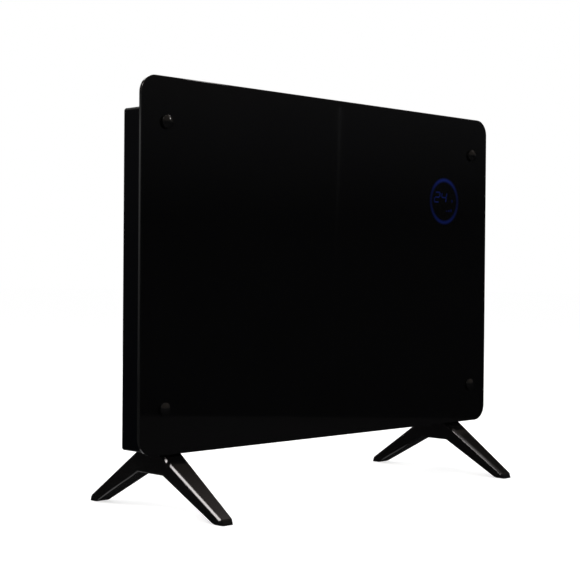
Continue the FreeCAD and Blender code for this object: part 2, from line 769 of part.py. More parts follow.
def foot(label, side):
    """A splayed moulding: two tapered legs from a bridge, bevelled outside and rounded below."""
    body = doc.addObject("PartDesign::Body", label)
    outline = new_sketch(body, "YZ_Plane", label + "_outline")
    half = [
        ("foot_top_length / 2", "foot_height"),
        ("foot_span / 2 - tip_lean", "pad_proud + tip_rise"),
        ("foot_span / 2", "pad_proud"),
        ("foot_span / 2 - sole_length", "pad_proud"),
        ("bridge_length / 2", "bridge_height"),
    ]
    polygon(outline, half + [(f"-({y})", z) for y, z in reversed(half)])
    pad(body, outline, "foot_top_width + 2 * cut_overshoot", symmetric=True)
    flanks = new_sketch(body, "XZ_Plane", label + "_flanks")
    for end in (-1, 1):
        outside = f"{end} * (foot_top_width / 2 + 2 * cut_overshoot)"
        polygon(flanks, [
            (f"{end} * foot_tip_width / 2", "0"),
            (f"{end} * (foot_top_width / 2 + flank_lean * cut_overshoot)", "foot_height + cut_overshoot"),
            (outside, "foot_height + cut_overshoot"),
            (outside, "0"),
        ])
    trimmed = body.newObject("PartDesign::Pocket", label + "_trimmed")
    trimmed.Profile = flanks
    trimmed.Type = "ThroughAll"
    trimmed.SideType = "Symmetric"
    doc.recompute()
    sole_y = num("foot_span / 2 - sole_length")
    tip_y, tip_z = num("foot_span / 2 - tip_lean"), num("pad_proud + tip_rise")
    bridge_y, bridge_z = num("bridge_length / 2"), num("bridge_height")

    def at(y, z):
        def wanted(edge):
            middle = edge.CenterOfMass
            return along(edge, V(1, 0, 0)) and abs(abs(middle.y) - y) + abs(middle.z - z) < NEAR
        return wanted

    round_edges(body, label + "_soles", "sole_round", at(sole_y, num("pad_proud")))
    round_edges(body, label + "_arch", "bridge_fillet", at(bridge_y, bridge_z))
    top, sole = num("foot_height"), num("pad_proud")
    slope = V(0, num("foot_top_length / 2"), top), V(0, tip_y, tip_z)
    underside = V(0, bridge_y, bridge_z), V(0, sole_y, sole)

    def on_flank(point):
        return abs(abs(point.x) - num("foot_tip_width / 2") - num("flank_lean") * point.z) < NEAR

    def long_edge(edge):
        middle = edge.CenterOfMass
        return on_flank(middle) and sole + NEAR < middle.z < top - NEAR

    def outer_edge(edge):
        middle = V(0, abs(edge.CenterOfMass.y), edge.CenterOfMass.z)
        from_slope = middle.distanceToLine(slope[0], slope[1] - slope[0])
        from_underside = middle.distanceToLine(underside[0], underside[1] - underside[0])
        return long_edge(edge) and from_slope < from_underside

    def lower_edge(edge):
        return long_edge(edge) and not outer_edge(edge)

    def tip_edge(edge):
        ends = [vertex.Point for vertex in edge.Vertexes]
        at_tip = [abs(abs(end.y) - tip_y) + abs(end.z - tip_z) < NEAR for end in ends]
        return all(at_tip) or any(at_tip) and any(on_flank(end) for end in ends)

    bevel_edges(body, label + "_bevels", "foot_bevel", outer_edge)
    round_edges(body, label + "_tips", "tip_round", tip_edge)
    round_edges(body, label + "_edges", "foot_edge", lower_edge)
    seats = new_sketch(body, "XY_Plane", label + "_seats")
    holes = new_sketch(body, "XY_Plane", label + "_holes")
    for end in (-1, 1):
        circle(seats, "0", f"{end} * foot_screw_spacing / 2", "foot_head_radius + foot_head_clearance")
        circle(holes, "0", f"{end} * foot_screw_spacing / 2", "foot_screw_radius + screw_clearance")
    pocket(body, holes)
    before = body.Shape.Volume
    counterbore = body.newObject("PartDesign::Pocket", label + "_counterbore")
    counterbore.Profile = seats
    counterbore.Reversed = True
    bind(counterbore, Length="foot_seat")
    doc.recompute()
    recess = new_sketch(body, "XY_Plane", label + "_recess")
    for end in (-1, 1):
        outer = f"{end} * (foot_span / 2 - pad_inset)"
        inner = f"{end} * (foot_span / 2 - pad_inset - pad_length)"
        rectangle(recess, ("-pad_width / 2", "pad_width / 2"), (outer, inner))
    sunk = body.newObject("PartDesign::Pocket", label + "_sunk")
    sunk.Profile = recess
    sunk.Reversed = True
    bind(sunk, Length="pad_thick")
    doc.recompute()
    if body.Shape.Volume >= before:
        raise ValueError(f"{label} has no recesses")
    place(body, x=f"{side} * foot_spacing / 2")
    node(label, body)


def foot_fittings():
    pads, screws, plates = [], [], []
    for side in SIDES.values():
        middle = f"{side} * foot_spacing / 2"
        for end in (-1, 1):
            y = [f"{end} * (foot_span / 2 - pad_inset - pad_length)", f"{end} * (foot_span / 2 - pad_inset)"]
            pads.append(block("foot_pad", (f"{middle} - pad_width / 2", f"{middle} + pad_width / 2"),
                              y if end > 0 else y[::-1], ("0", "pad_thick")))
        plate = block("nut_plate_body",
                      (f"{middle} - nut_plate_length / 2", f"{middle} + nut_plate_length / 2"),
                      ("-nut_plate_width / 2", "nut_plate_width / 2"),
                      (CASE_FLOOR, f"{CASE_FLOOR} + nut_plate_thick"))
        bores = []
        for x, y in foot_screw_places(side):
            bores.append(rod("nut_plate_bore", "z", (x, y, CASE_FLOOR), "nut_plate_thick",
                             "foot_screw_radius + bolt_clearance"))
            shank = rod("foot_screw_shank", "z", (x, y, "foot_seat - foot_head_height"),
                        "foot_head_height + foot_screw_length", "foot_screw_radius")
            head = rod("foot_screw_head", "z", (x, y, "foot_seat - foot_head_height"), "foot_head_height",
                       "foot_head_radius")
            screws.append(join("foot_screw", [shank, head]))
        plates.append(cut("nut_plate", plate, bores))
    node("foot_pads", group("foot_pads", pads))
    node("foot_screws", group("foot_screws", screws))
    node("foot_nut_plates", group("foot_nut_plates", plates))


def bay_wall():
    """The sheet that parts the heating chamber from the control bay, flanged onto the casing's front wall."""
    height = (CASE_FLOOR, CASE_ROOF)
    web = block("bay_web", ("bay_wall_x", BAY_FACE), (CASE_INSIDE, f"{CASE_REAR} - casing_wall"), height)
    flange = block("bay_flange_leaf", ("bay_wall_x", f"{BAY_FACE} + bay_flange"),
                   (CASE_INSIDE, f"{CASE_INSIDE} + sheet_thick"), height)
    tail = rod("thermostat_hole", "x", ("bay_wall_x - cut_overshoot", ELEMENT_Y, "thermostat_z"),
               THROUGH_SHEET, "thermostat_tail_radius + screw_clearance")
    leads = block("lead_hole", ("bay_wall_x - cut_overshoot", f"{BAY_FACE} + cut_overshoot"),
                  (f"{ELEMENT_Y} - grommet_half_width", f"{ELEMENT_Y} + grommet_half_width"),
                  ("lead_hole_z - grommet_half_height", "lead_hole_z + grommet_half_height"))
    node("bay_wall", cut("bay_wall", join("bay_sheet", [web, flange]), [tail, leads]))


def lead_grommet():
    def sleeve(name, x, grow):
        half_y, half_z = f"(grommet_half_width + {grow})", f"(grommet_half_height + {grow})"
        return block(name, x, (f"{ELEMENT_Y} - {half_y}", f"{ELEMENT_Y} + {half_y}"),
                     (f"lead_hole_z - {half_z}", f"lead_hole_z + {half_z}"))

    lips = [
        sleeve("grommet_left", ("bay_wall_x - grommet_lip", "bay_wall_x"), "grommet_lip"),
        sleeve("grommet_neck", ("bay_wall_x", BAY_FACE), "0"),
        sleeve("grommet_right", (BAY_FACE, f"{BAY_FACE} + grommet_lip"), "grommet_lip"),
    ]
    opening = sleeve("grommet_opening", ("bay_wall_x - grommet_lip", f"{BAY_FACE} + grommet_lip"),
                     "(-grommet_wall)")
    node("lead_grommet", cut("lead_grommet", join("grommet_body", lips), [opening]))


def heating_elements():
    """Two aluminium bars of X section, each over a steel heater tube with a contact pin at both ends."""
    bushes = []
    for level, z in ELEMENT_HEIGHTS.items():
        core = rod(level + "_fin_core", "x", (ELEMENT_LEFT, ELEMENT_Y, z), "element_length",
                   "fin_core_radius")
        fins = [core]
        for sign in (-1, 1):
            fin = doc.addObject("Part::Box", f"{level}_fin")
            bind(fin, Length="element_length", Width="fin_thick", Height="fin_span")
            lean = f"{sign} * fin_angle"
            fin.Placement = FreeCAD.Placement(V(), FreeCAD.Rotation(V(1, 0, 0), num(lean)))
            place(fin, ELEMENT_LEFT,
                  f"{ELEMENT_Y} - cos({lean}) * fin_thick / 2 + sin({lean}) * fin_span / 2",
                  f"{z} - sin({lean}) * fin_thick / 2 - cos({lean}) * fin_span / 2")
            fins.append(fin)
        bore = rod(level + "_fin_bore", "x", (ELEMENT_LEFT, ELEMENT_Y, z), "element_length",
                   "heater_tube_radius + element_clearance")
        node(level + "_fin_bar", cut(level + "_fin_bar", join(level + "_fins", fins), [bore]))
        tube = rod(level + "_tube_body", "x", (TUBE_LEFT, ELEMENT_Y, z), f"{TUBE_RIGHT} - {TUBE_LEFT}",
                   "heater_tube_radius")
        pins = rod(level + "_pins", "x", (f"{TUBE_LEFT} - heater_pin_length", ELEMENT_Y, z),
                   f"{TUBE_RIGHT} - {TUBE_LEFT} + 2 * heater_pin_length", "heater_pin_radius")
        node(level + "_heater_tube", join(level + "_heater_tube", [tube, pins]))
        for start, inner_face, direction in ((BRACKET_LEFT, f"{BRACKET_LEFT} + sheet_thick", 1),
                                             (BRACKET_RIGHT, BRACKET_RIGHT, -1)):
            flange_start = inner_face if direction > 0 else f"{inner_face} - bush_flange_thick"
            neck_start = f"{start} - bush_tail" if direction > 0 else start
            neck = rod("bush_neck", "x", (neck_start, ELEMENT_Y, z), "sheet_thick + bush_tail", "bush_radius")
            flange = rod("bush_flange", "x", (flange_start, ELEMENT_Y, z), "bush_flange_thick",
                         "bush_flange_radius")
            hole = rod("bush_bore", "x", (neck_start if direction > 0 else flange_start, ELEMENT_Y, z),
                       "bush_tail + sheet_thick + bush_flange_thick",
                       "heater_tube_radius + element_clearance")
            bushes.append(cut("element_bush", join("bush_body", [neck, flange]), [hole]))
    node("element_bushes", group("element_bushes", bushes))


def element_bracket(label, x, flange_x):
    web = block(label + "_web", (x, f"{x} + sheet_thick"), (CASE_INSIDE, f"{CASE_INSIDE} + bracket_reach"),
                ("bracket_bottom", "bracket_top"))
    flange = block(label + "_flange", flange_x, (CASE_INSIDE, f"{CASE_INSIDE} + sheet_thick"),
                   ("bracket_bottom", "bracket_top"))
    holes = [rod(label + "_hole", "x", (f"{x} - cut_overshoot", ELEMENT_Y, z), THROUGH_SHEET,
                 "bush_radius + element_clearance") for z in ELEMENT_HEIGHTS.values()]
    node(label, cut(label, join(label + "_sheet", [web, flange]), holes))


def heat_shield():
    """A bright sheet behind the elements, held off the rear cover by its two flanges."""
    face = f"{CASE_REAR} - shield_standoff"
    x = ("-shield_left", "shield_right")
    sheet_face = block("shield_face", x, (face, f"{face} + sheet_thick"), ("shield_bottom", "shield_top"))
    lower = block("shield_lower", x, (face, CASE_REAR), ("shield_bottom", "shield_bottom + sheet_thick"))
    upper = block("shield_upper", x, (face, CASE_REAR), ("shield_top - sheet_thick", "shield_top"))
    node("heat_shield", join("heat_shield", [sheet_face, lower, upper]))


def overheat_thermostat():
    y, z = ELEMENT_Y, "thermostat_z"
    flange_x = "bay_wall_x - thermostat_flange_thick"
    flange = block("thermostat_flange", (flange_x, "bay_wall_x"),
                   (f"{y} - thermostat_flange_width / 2", f"{y} + thermostat_flange_width / 2"),
                   (f"{z} - thermostat_flange_height / 2", f"{z} + thermostat_flange_height / 2"))
    cup = rod("thermostat_cup", "x", (f"{flange_x} - thermostat_depth", y, z), "thermostat_depth",
              "thermostat_radius")
    tail = rod("thermostat_tail_body", "x", ("bay_wall_x", y, z), "thermostat_tail", "thermostat_tail_radius")
    spades = []
    for side in (-1, 1):
        middle = f"{y} + {side} * spade_spacing / 2"
        spades.append(block("thermostat_spade", ("bay_wall_x", "bay_wall_x + thermostat_tail + spade_length"),
                            (f"{middle} - spade_thick / 2", f"{middle} + spade_thick / 2"),
                            (f"{z} - spade_width / 2", f"{z} + spade_width / 2")))
    node("overheat_thermostat", join("overheat_thermostat", [flange, cup, tail] + spades))


def thermal_fuse():
    x = f"{BRACKET_RIGHT} + sheet_thick + fuse_radius"
    barrel = rod("fuse_barrel", "z", (x, "-fuse_y", "fuse_z - fuse_length / 2"), "fuse_length", "fuse_radius")
    tab = block("fuse_strap", (f"{BRACKET_RIGHT} + sheet_thick", x),
                ("-fuse_y - fuse_tab", "-fuse_y + fuse_tab"),
                ("fuse_z - fuse_radius", "fuse_z + fuse_radius"))
    node("thermal_fuse", join("thermal_fuse", [barrel, tab]))


def room_sensor():
    x, y = "sensor_x", "-sensor_y"
    probe = rod("sensor_probe", "z", (x, y, "foot_height"), "sensor_length", "sensor_radius")
    collar = block("sensor_collar", (f"{x} - sensor_tab / 2", f"{x} + sensor_tab / 2"),
                   (f"{y} - sensor_tab / 2", f"{y} + sensor_tab / 2"),
                   (CASE_FLOOR, f"{CASE_FLOOR} + sheet_thick"))
    node("room_sensor", join("room_sensor", [probe, collar]))


def display_parts():
    """The display cup behind the glass, with its light ring, digit block and board."""
    x, z = "display_x", "display_z"
    cup = rod("housing_cup", "y", (x, GLASS_BACK, z), "housing_depth", "housing_radius")
    flange = rod("housing_flange", "y", (x, CASE_INSIDE, z), "housing_flange_thick", "housing_flange_radius")
    mouth = rod("housing_mouth", "y", (x, GLASS_BACK, z), f"{DISPLAY_BOARD_REAR} - {GLASS_BACK}",
                "housing_radius - housing_wall")
    well = rod("housing_well", "y", (x, GLASS_BACK, z), "housing_depth - housing_wall",
               "housing_radius - housing_wall - housing_ledge")
    node("display_housing", cut("display_housing", join("housing_body", [cup, flange]), [mouth, well]))
    node("light_ring", ring_piece("light_ring", x, z, GLASS_BACK, "ring_depth",
                                  "ring_diameter / 2 + ring_width / 2", "ring_diameter / 2 - ring_width / 2"))
    board = rod("display_board", "y", (x, DISPLAY_BOARD_FRONT, z), "board_thick",
                "housing_radius - housing_wall - screw_clearance")
    node("display_board", board)
    digits = block("digit_block", (f"{x} - digits_left", f"{x} - digits_left + digits_width"),
                   (GLASS_BACK, DISPLAY_BOARD_FRONT),
                   (f"{z} + digits_rise - digits_height / 2", f"{z} + digits_rise + digits_height / 2"))
    node("digit_block", digits)


def on_board(name, left, bottom, width, height, depth):
    x, z = f"board_left + {left}", f"board_bottom + {bottom}"
    return block(name, (x, f"{x} + {width}"), (BOARD_REAR, f"{BOARD_REAR} + {depth}"), (z, f"{z} + {height}"))


def power_board():
    board = block("power_board", ("board_left", "board_left + board_width"), (BOARD_FRONT, BOARD_REAR),
                  ("board_bottom", "board_bottom + board_height"))
    node("power_board", board)
    standoffs = []
    for side, end in CORNERS:
        x = "board_left + board_inset" if side < 0 else "board_left + board_width - board_inset"
        z = "board_bottom + board_inset" if end < 0 else "board_bottom + board_height - board_inset"
        standoffs.append(rod("board_standoff", "y", (x, CASE_INSIDE, z), "standoff_height",
                             "standoff_radius"))
    node("board_standoffs", group("board_standoffs", standoffs))
    relays = [on_board("relay", f"relay_left + {i} * relay_step", "relay_bottom", "relay_width",
                       "relay_height", "relay_depth") for i in range(2)]
    node("relays", group("relays", relays))
    node("power_transformer", on_board("power_transformer", "transformer_left", "transformer_bottom",
                                       "transformer_width", "transformer_height", "transformer_depth"))
    capacitor_base = ("board_left + capacitor_left", BOARD_REAR, "board_bottom + capacitor_bottom")
    node("smoothing_capacitor", rod("smoothing_capacitor", "y", capacitor_base, "capacitor_length",
                                    "capacitor_radius"))
    node("board_terminals", on_board("board_terminals", "strip_left", "strip_bottom", "strip_width",
                                     "strip_height", "strip_depth"))
    plug_left = "display_x - board_left - plug_width / 2"
    node("display_plug", on_board("display_plug", plug_left, "board_height - plug_height", "plug_width",
                                  "plug_height", "plug_depth"))
    middle = f"{BOARD_REAR} + plug_depth / 2"
    cable = block("display_cable", ("display_x - cable_width / 2", "display_x + cable_width / 2"),
                  (f"{middle} - cable_thick / 2", f"{middle} + cable_thick / 2"),
                  ("board_bottom + board_height", "display_z - housing_radius"))
    node("display_cable", cable)


def terminal_pole_x(rank):
    return f"terminal_left + terminal_width / 2 + {rank} * terminal_pole_step"


def strip_pole_x(rank):
    return f"board_left + strip_left + strip_first_pole + {rank} * strip_pole_step"


def terminal_block():
    base = block("terminal_body", ("terminal_left", "terminal_left + terminal_width"),
                 ("-terminal_front", "terminal_depth - terminal_front"),
                 (CASE_FLOOR, f"{CASE_FLOOR} + terminal_height"))
    bores = [rod("terminal_bore_cut", "y",
                 (terminal_pole_x(rank), "-terminal_front", f"{CASE_FLOOR} + terminal_height / 2"),
                 "terminal_depth", "terminal_bore") for rank in (-1, 0, 1)]
    node("terminal_block", cut("terminal_block", base, bores))


def earth_stud():
    stud = rod("earth_bolt", "z", ("earth_x", "earth_y", "foot_height"), "earth_height", "earth_radius")
    hexagon = nut("earth_nut", "z", ("earth_x", "earth_y", CASE_FLOOR), "earth_nut_thick", "earth_nut_radius")
    node("earth_stud", join("earth_stud", [stud, hexagon]))


def leads():
    """Element leads through the grommet to the board, the bridge lead on the left, and the supply leads."""
    y = num(ELEMENT_Y)
    radius, bend = num("lead_radius"), num("lead_bend")
    low, high = num("lower_element_z"), num("upper_element_z")
    right, left = num(f"{TUBE_RIGHT} + heater_pin_length"), num(f"{TUBE_LEFT} - heater_pin_length")
    turn, hole, half_gap = num("lead_turn_x"), num("lead_hole_z"), num("lead_spacing / 2")
    strip_z = num("board_bottom + strip_bottom")
    element = []
    for z, passing, pole in ((low, hole - half_gap, 0), (high, hole + half_gap, 1)):
        end_x = num(strip_pole_x(pole))
        route = [V(right, y, z), V(turn, y, z), V(turn, y, passing), V(end_x, y, passing),
                 V(end_x, y, strip_z)]
        element.append(pipe(route, radius, bend))
    out = left - (turn - right)
    element.append(pipe([V(left, y, low), V(out, y, low), V(out, y, high), V(left, y, high)], radius, bend))
    top = num(f"{CASE_FLOOR} + terminal_height")
    supply_y = num("terminal_depth / 2 - terminal_front")
    rise = num("supply_lead_rise")
    supply = []
    for rank, pole in ((-1, 2), (1, 3)):
        start_x, end_x = num(terminal_pole_x(rank)), num(strip_pole_x(pole))
        supply.append(pipe([V(start_x, supply_y, top), V(start_x, supply_y, top + rise),
                            V(end_x, y, strip_z - rise), V(end_x, y, strip_z)], radius, bend))
    for label, solids in (("element_leads", element), ("supply_leads", supply)):
        item = doc.addObject("Part::Feature", label)
        item.Shape = Part.makeCompound(solids)
        node(label, item)


def tip_over_switch():
    """A weighted pendulum on a headed pin, fixed to the control bay's side of the bay wall."""
    y, z = TIP_Y, "tip_z"
    plate = block("tip_plate", (BAY_FACE, f"{BAY_FACE} + tip_plate_thick"),
                  (f"{y} - tip_plate_width / 2", f"{y} + tip_plate_width / 2"),
                  (f"{z} - tip_plate_height / 2", f"{z} + tip_plate_height / 2"))
    face = f"{BAY_FACE} + tip_plate_thick"
    pin = rod("tip_pin", "x", (BAY_FACE, y, z), "tip_plate_thick + tip_pin_length + tip_pin_head_thick",
              "tip_pin_radius")
    head = rod("tip_pin_head_disc", "x", (f"{face} + tip_pin_length", y, z), "tip_pin_head_thick",
               "tip_pin_head")
    node("tip_switch_frame", join("tip_switch_frame", [plate, pin, head]))
    start = f"{face} + tip_hub_gap"
    hub = rod("tip_hub", "x", (start, y, z), "tip_hub_length", "tip_hub_radius")
    arm = rod("tip_arm", "z", (f"{start} + tip_hub_length / 2", y, f"{z} - tip_arm_length"), "tip_arm_length",
              "tip_arm_radius")
    bob = rod("tip_bob", "x", (start, y, f"{z} - tip_arm_length"), "tip_hub_length", "tip_bob_radius")
    bore = rod("tip_bore", "x", (start, y, z), "tip_hub_length", "tip_pin_radius + running_clearance")
    node("tip_pendulum", cut("tip_pendulum", join("tip_weight", [hub, arm, bob]), [bore]))


def rocker_switch():
    """A mains rocker in its bezel, resting in the off tilt about a pin across its width."""
    x, z = "rocker_x", "rocker_z"
    inner_x = "(rocker_width / 2 + rocker_gap)"
    inner_z = "(rocker_length / 2 + rocker_end_gap)"

    def around(name, half_x, half_z, y):
        return block(name, (f"{x} - {half_x}", f"{x} + {half_x}"), y, (f"{z} - {half_z}", f"{z} + {half_z}"))

    bezel_face = f"{COVER_REAR} + bezel_thick"
    shell = around("switch_shell", SWITCH_HALF_X, SWITCH_HALF_Z, (f"{COVER_REAR} - switch_depth", COVER_REAR))
    rim = around("switch_rim", f"({SWITCH_HALF_X} + bezel_rim)", f"({SWITCH_HALF_Z} + bezel_rim)",
                 (COVER_REAR, bezel_face))
    spades = [block("switch_spade", (f"{x} - spade_width / 2", f"{x} + spade_width / 2"),
                    (f"{COVER_REAR} - switch_depth - spade_length", f"{COVER_REAR} - switch_depth"),
                    (f"{z} + {s} * spade_spacing - spade_thick / 2",
                     f"{z} + {s} * spade_spacing + spade_thick / 2"))
              for s in (-1, 1)]
    well = around("switch_well", inner_x, inner_z, (f"{COVER_REAR} - switch_floor", bezel_face))
    pin_hole = rod("switch_pin_hole", "x", (f"{x} - {SWITCH_HALF_X}", CASE_REAR, z), f"2 * {SWITCH_HALF_X}",
                   "rocker_pin_radius + running_clearance")
    node("rocker_bezel", cut("rocker_bezel", join("switch_body", [shell, rim] + spades), [well, pin_hole]))

    body = doc.addObject("PartDesign::Body", "power_rocker")
    outline = new_sketch(body, "YZ_Plane", "rocker_outline")
    half_length, half_heel = "rocker_length / 2", "rocker_heel_length / 2"
    polygon(outline, [
        ("-rocker_heel", f"-{half_heel}"), ("rocker_skirt", f"-{half_length}"),
        ("rocker_end", f"-{half_length}"),
        ("rocker_valley", "0"), ("rocker_end", half_length), ("rocker_skirt", half_length),
        ("-rocker_heel", half_heel),
    ])
    pad(body, outline, "rocker_width", symmetric=True)
    pivot = new_sketch(body, "YZ_Plane", "rocker_pivot")
    circle(pivot, "0", "0", "rocker_pin_radius")
    pad(body, pivot, "rocker_width + 2 * rocker_pin_length", symmetric=True)
    body.Placement = FreeCAD.Placement(V(), FreeCAD.Rotation(V(1, 0, 0), num("rocker_tilt")))
    place(body, x, CASE_REAR, z)
    node("power_rocker", body)


def cord_gland():
    x, z = "gland_x", "gland_z"
    neck = rod("gland_neck_body", "y", (x, f"{COVER_REAR} - gland_neck", z), "gland_neck", "gland_radius")
    flange = rod("gland_flange", "y", (x, COVER_REAR, z), "gland_flange_thick", "gland_flange_radius")
    bore = rod("gland_bore_cut", "y", (x, f"{COVER_REAR} - gland_neck", z), "gland_neck + gland_flange_thick",
               "gland_bore")
    node("cord_gland", cut("cord_gland", join("gland_body", [neck, flange]), [bore]))
    start = f"{CASE_REAR} - gland_nut_thick"
    hexagon = nut("gland_nut_body", "y", (x, start, z), "gland_nut_thick", "gland_nut_radius")
    thread = rod("gland_nut_bore", "y", (x, start, z), "gland_nut_thick", "gland_radius + bolt_clearance")
    node("gland_nut", cut("gland_nut", hexagon, [thread]))


def check_and_write():
    """Stops on any failed feature or bad solid, then writes one file per piece."""
    doc.recompute()
    failed = [item.Name for item in doc.Objects if {"Invalid", "Error"} & set(item.State)]
    failed += [item.Label for item in nodes if item.Shape.isNull() or not item.Shape.isValid()]
    if failed:
        raise RuntimeError("failed: " + ", ".join(failed))
    os.makedirs("parts", exist_ok=True)
    for item in nodes:
        item.Shape.exportStep(f"parts/{item.Label}.step")
        print(item.Label, len(item.Shape.Solids), round(item.Shape.Volume, 1))


front_glass()
glass_fasteners()
casing()
rear_cover()
cover_screws()
grille("outlet_grille", "outlet_left", "outlet_right", f"{CASE_ROOF} - grille_thick", "outlet_count")
grille("inlet_grille", "inlet_left", "inlet_right", CASE_FLOOR, "inlet_count")
for side_name, sign_text in SIDES.items():
    foot(side_name + "_foot", sign_text)
foot_fittings()
bay_wall()
lead_grommet()
heating_elements()
element_bracket("left_bracket", BRACKET_LEFT, (f"{BRACKET_LEFT} - bracket_flange", BRACKET_LEFT))
element_bracket("right_bracket", BRACKET_RIGHT,
                (f"{BRACKET_RIGHT} + sheet_thick", f"{BRACKET_RIGHT} + sheet_thick + bracket_flange"))
heat_shield()
overheat_thermostat()
thermal_fuse()
room_sensor()
display_parts()
power_board()
terminal_block()
earth_stud()
leads()
tip_over_switch()
rocker_switch()
cord_gland()
check_and_write()
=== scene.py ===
"""Looks for the panel convector heater: materials, fine pieces, studio and camera, in the frame's metres."""
import json
import math

import bmesh
import bpy
from mathutils import Matrix, Vector


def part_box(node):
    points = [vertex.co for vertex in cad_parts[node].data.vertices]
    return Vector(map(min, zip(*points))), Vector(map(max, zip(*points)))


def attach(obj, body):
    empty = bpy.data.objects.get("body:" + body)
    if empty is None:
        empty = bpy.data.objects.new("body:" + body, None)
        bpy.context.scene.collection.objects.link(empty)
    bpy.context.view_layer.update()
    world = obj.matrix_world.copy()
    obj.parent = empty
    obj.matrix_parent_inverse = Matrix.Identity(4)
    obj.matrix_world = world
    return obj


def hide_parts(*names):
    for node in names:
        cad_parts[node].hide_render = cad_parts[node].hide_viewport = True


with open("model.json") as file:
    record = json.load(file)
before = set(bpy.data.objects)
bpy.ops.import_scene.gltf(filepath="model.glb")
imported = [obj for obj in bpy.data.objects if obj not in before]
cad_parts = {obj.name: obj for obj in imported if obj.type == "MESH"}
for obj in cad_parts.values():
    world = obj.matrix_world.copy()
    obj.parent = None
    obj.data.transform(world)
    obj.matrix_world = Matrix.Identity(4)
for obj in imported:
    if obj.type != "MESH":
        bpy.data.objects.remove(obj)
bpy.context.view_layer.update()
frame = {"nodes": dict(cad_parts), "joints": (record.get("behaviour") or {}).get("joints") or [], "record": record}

MM = 0.001
WHITE = (1.0, 1.0, 1.0)
SLOT_OF = {part["node"]: part["material_slot"] for part in frame["record"]["subparts"]}
JOINT = {joint["name"]: joint for joint in frame["joints"]}


# Node helpers

def plug(tree, value, socket):
    """Links another node's output to a socket, or sets the socket to a plain value."""
    if isinstance(value, bpy.types.NodeSocket):
        tree.links.new(value, socket)
    else:
        socket.default_value = value


def add_node(tree, kind, settings=None, **inputs):
    """Adds a node; each input is a value or another node's output."""
    item = tree.nodes.new(kind)
    for name, value in (settings or {}).items():
        setattr(item, name, value)
    for name, value in inputs.items():
        plug(tree, value, item.inputs[name.replace("_", " ")])
    return item


def math_node(tree, operation, *values):
    """The result of a Math node on values or other nodes' outputs."""
    item = add_node(tree, "ShaderNodeMath", {"operation": operation})
    for value, socket in zip(values, item.inputs):
        plug(tree, value, socket)
    return item.outputs["Value"]


def ramp(tree, value, stops):
    """A colour ramp over a value from 0 to 1, by stops of position and colour."""
    item = add_node(tree, "ShaderNodeValToRGB", Fac=value)
    for _ in stops[2:]:
        item.color_ramp.elements.new(0.5)
    for element, (position, color) in zip(item.color_ramp.elements, stops):
        element.position = position
        element.color = (*color, 1.0)
    return item.outputs["Color"]


def shade(color, factor):
    return tuple(channel * factor for channel in color)


# Noise mostly lies between these values
NOISE_LOW = 0.3
NOISE_HIGH = 0.7
EVEN = (1.0, 1.0, 1.0)
EDGE_SAMPLES = 8
# Places of the Mix node's colour sockets, whose names it also gives to other sockets
MIX_FACTOR, MIX_FIRST, MIX_SECOND, MIX_RESULT = 0, 6, 7, 2


class Look:
    """A procedural material around one Principled shader, laid out in the heater's own coordinates."""

    def __init__(self, name, **sockets):
        self.mat = bpy.data.materials.new(name)
        self.mat.use_nodes = True
        self.tree = self.mat.node_tree
        self.shader = self.tree.nodes["Principled BSDF"]
        for socket, value in sockets.items():
            self.shader.inputs[socket.replace("_", " ")].default_value = value
        self.place = self.add("ShaderNodeTexCoord").outputs["Object"]

    def add(self, kind, settings=None, **inputs):
        return add_node(self.tree, kind, settings, **inputs)

    def noise(self, size, detail=3.0, stretch=EVEN):
        """Noise whose features measure about size, longer where stretch is over 1."""
        scale = [1 / (size * part) for part in stretch]
        scaled = self.add("ShaderNodeMapping", Vector=self.place, Scale=scale).outputs["Vector"]
        return self.add("ShaderNodeTexNoise", Vector=scaled, Scale=1.0, Detail=detail).outputs["Fac"]

    def span(self, value, low, high, start=NOISE_LOW, end=NOISE_HIGH):
        """Maps a value from start and end to low and high."""
        item = self.add("ShaderNodeMapRange", Value=value, From_Min=start, From_Max=end,
                        To_Min=low, To_Max=high)
        return item.outputs["Result"]

    def patchy(self, noise, color, low, high):
        """A colour that a noise shades from one multiple of it to another."""
        return ramp(self.tree, noise, [(NOISE_LOW, shade(color, low)), (NOISE_HIGH, shade(color, high))])

    def mix(self, factor, first, second):
        """Blends two colours, each a constant or another node's output."""
        item = self.add("ShaderNodeMix", {"data_type": "RGBA"})
        for index, value in ((MIX_FACTOR, factor), (MIX_FIRST, first), (MIX_SECOND, second)):
            plug(self.tree, (*value, 1.0) if isinstance(value, tuple) else value, item.inputs[index])
        return item.outputs[MIX_RESULT]

    def feed(self, socket, source):
        self.tree.links.new(source, self.shader.inputs[socket])

    def relief(self, height, depth, soften=0.0):
        """A shallow relief; soften is the radius by which sharp edges are shaded round."""
        bump = self.add("ShaderNodeBump", Height=height, Distance=depth)
        if soften:
            rounded = self.add("ShaderNodeBevel", {"samples": EDGE_SAMPLES}, Radius=soften)
            self.tree.links.new(rounded.outputs["Normal"], bump.inputs["Normal"])
        self.feed("Normal", bump.outputs["Normal"])


# Materials

# A patch of tone measures this many grains
GRAINS_PER_PATCH = 25

BLACK_PRINT = (0.0011, 0.0011, 0.0012)
GLASS_EDGE = (0.0055, 0.0056, 0.0056)
CASING_BLACK = (0.0006, 0.0009, 0.002)
COVER_GREY = (0.017, 0.0175, 0.0188)
FOOT_BLACK = (0.0036, 0.0034, 0.0034)
RING_BLUE = (0.0028, 0.0075, 0.062)


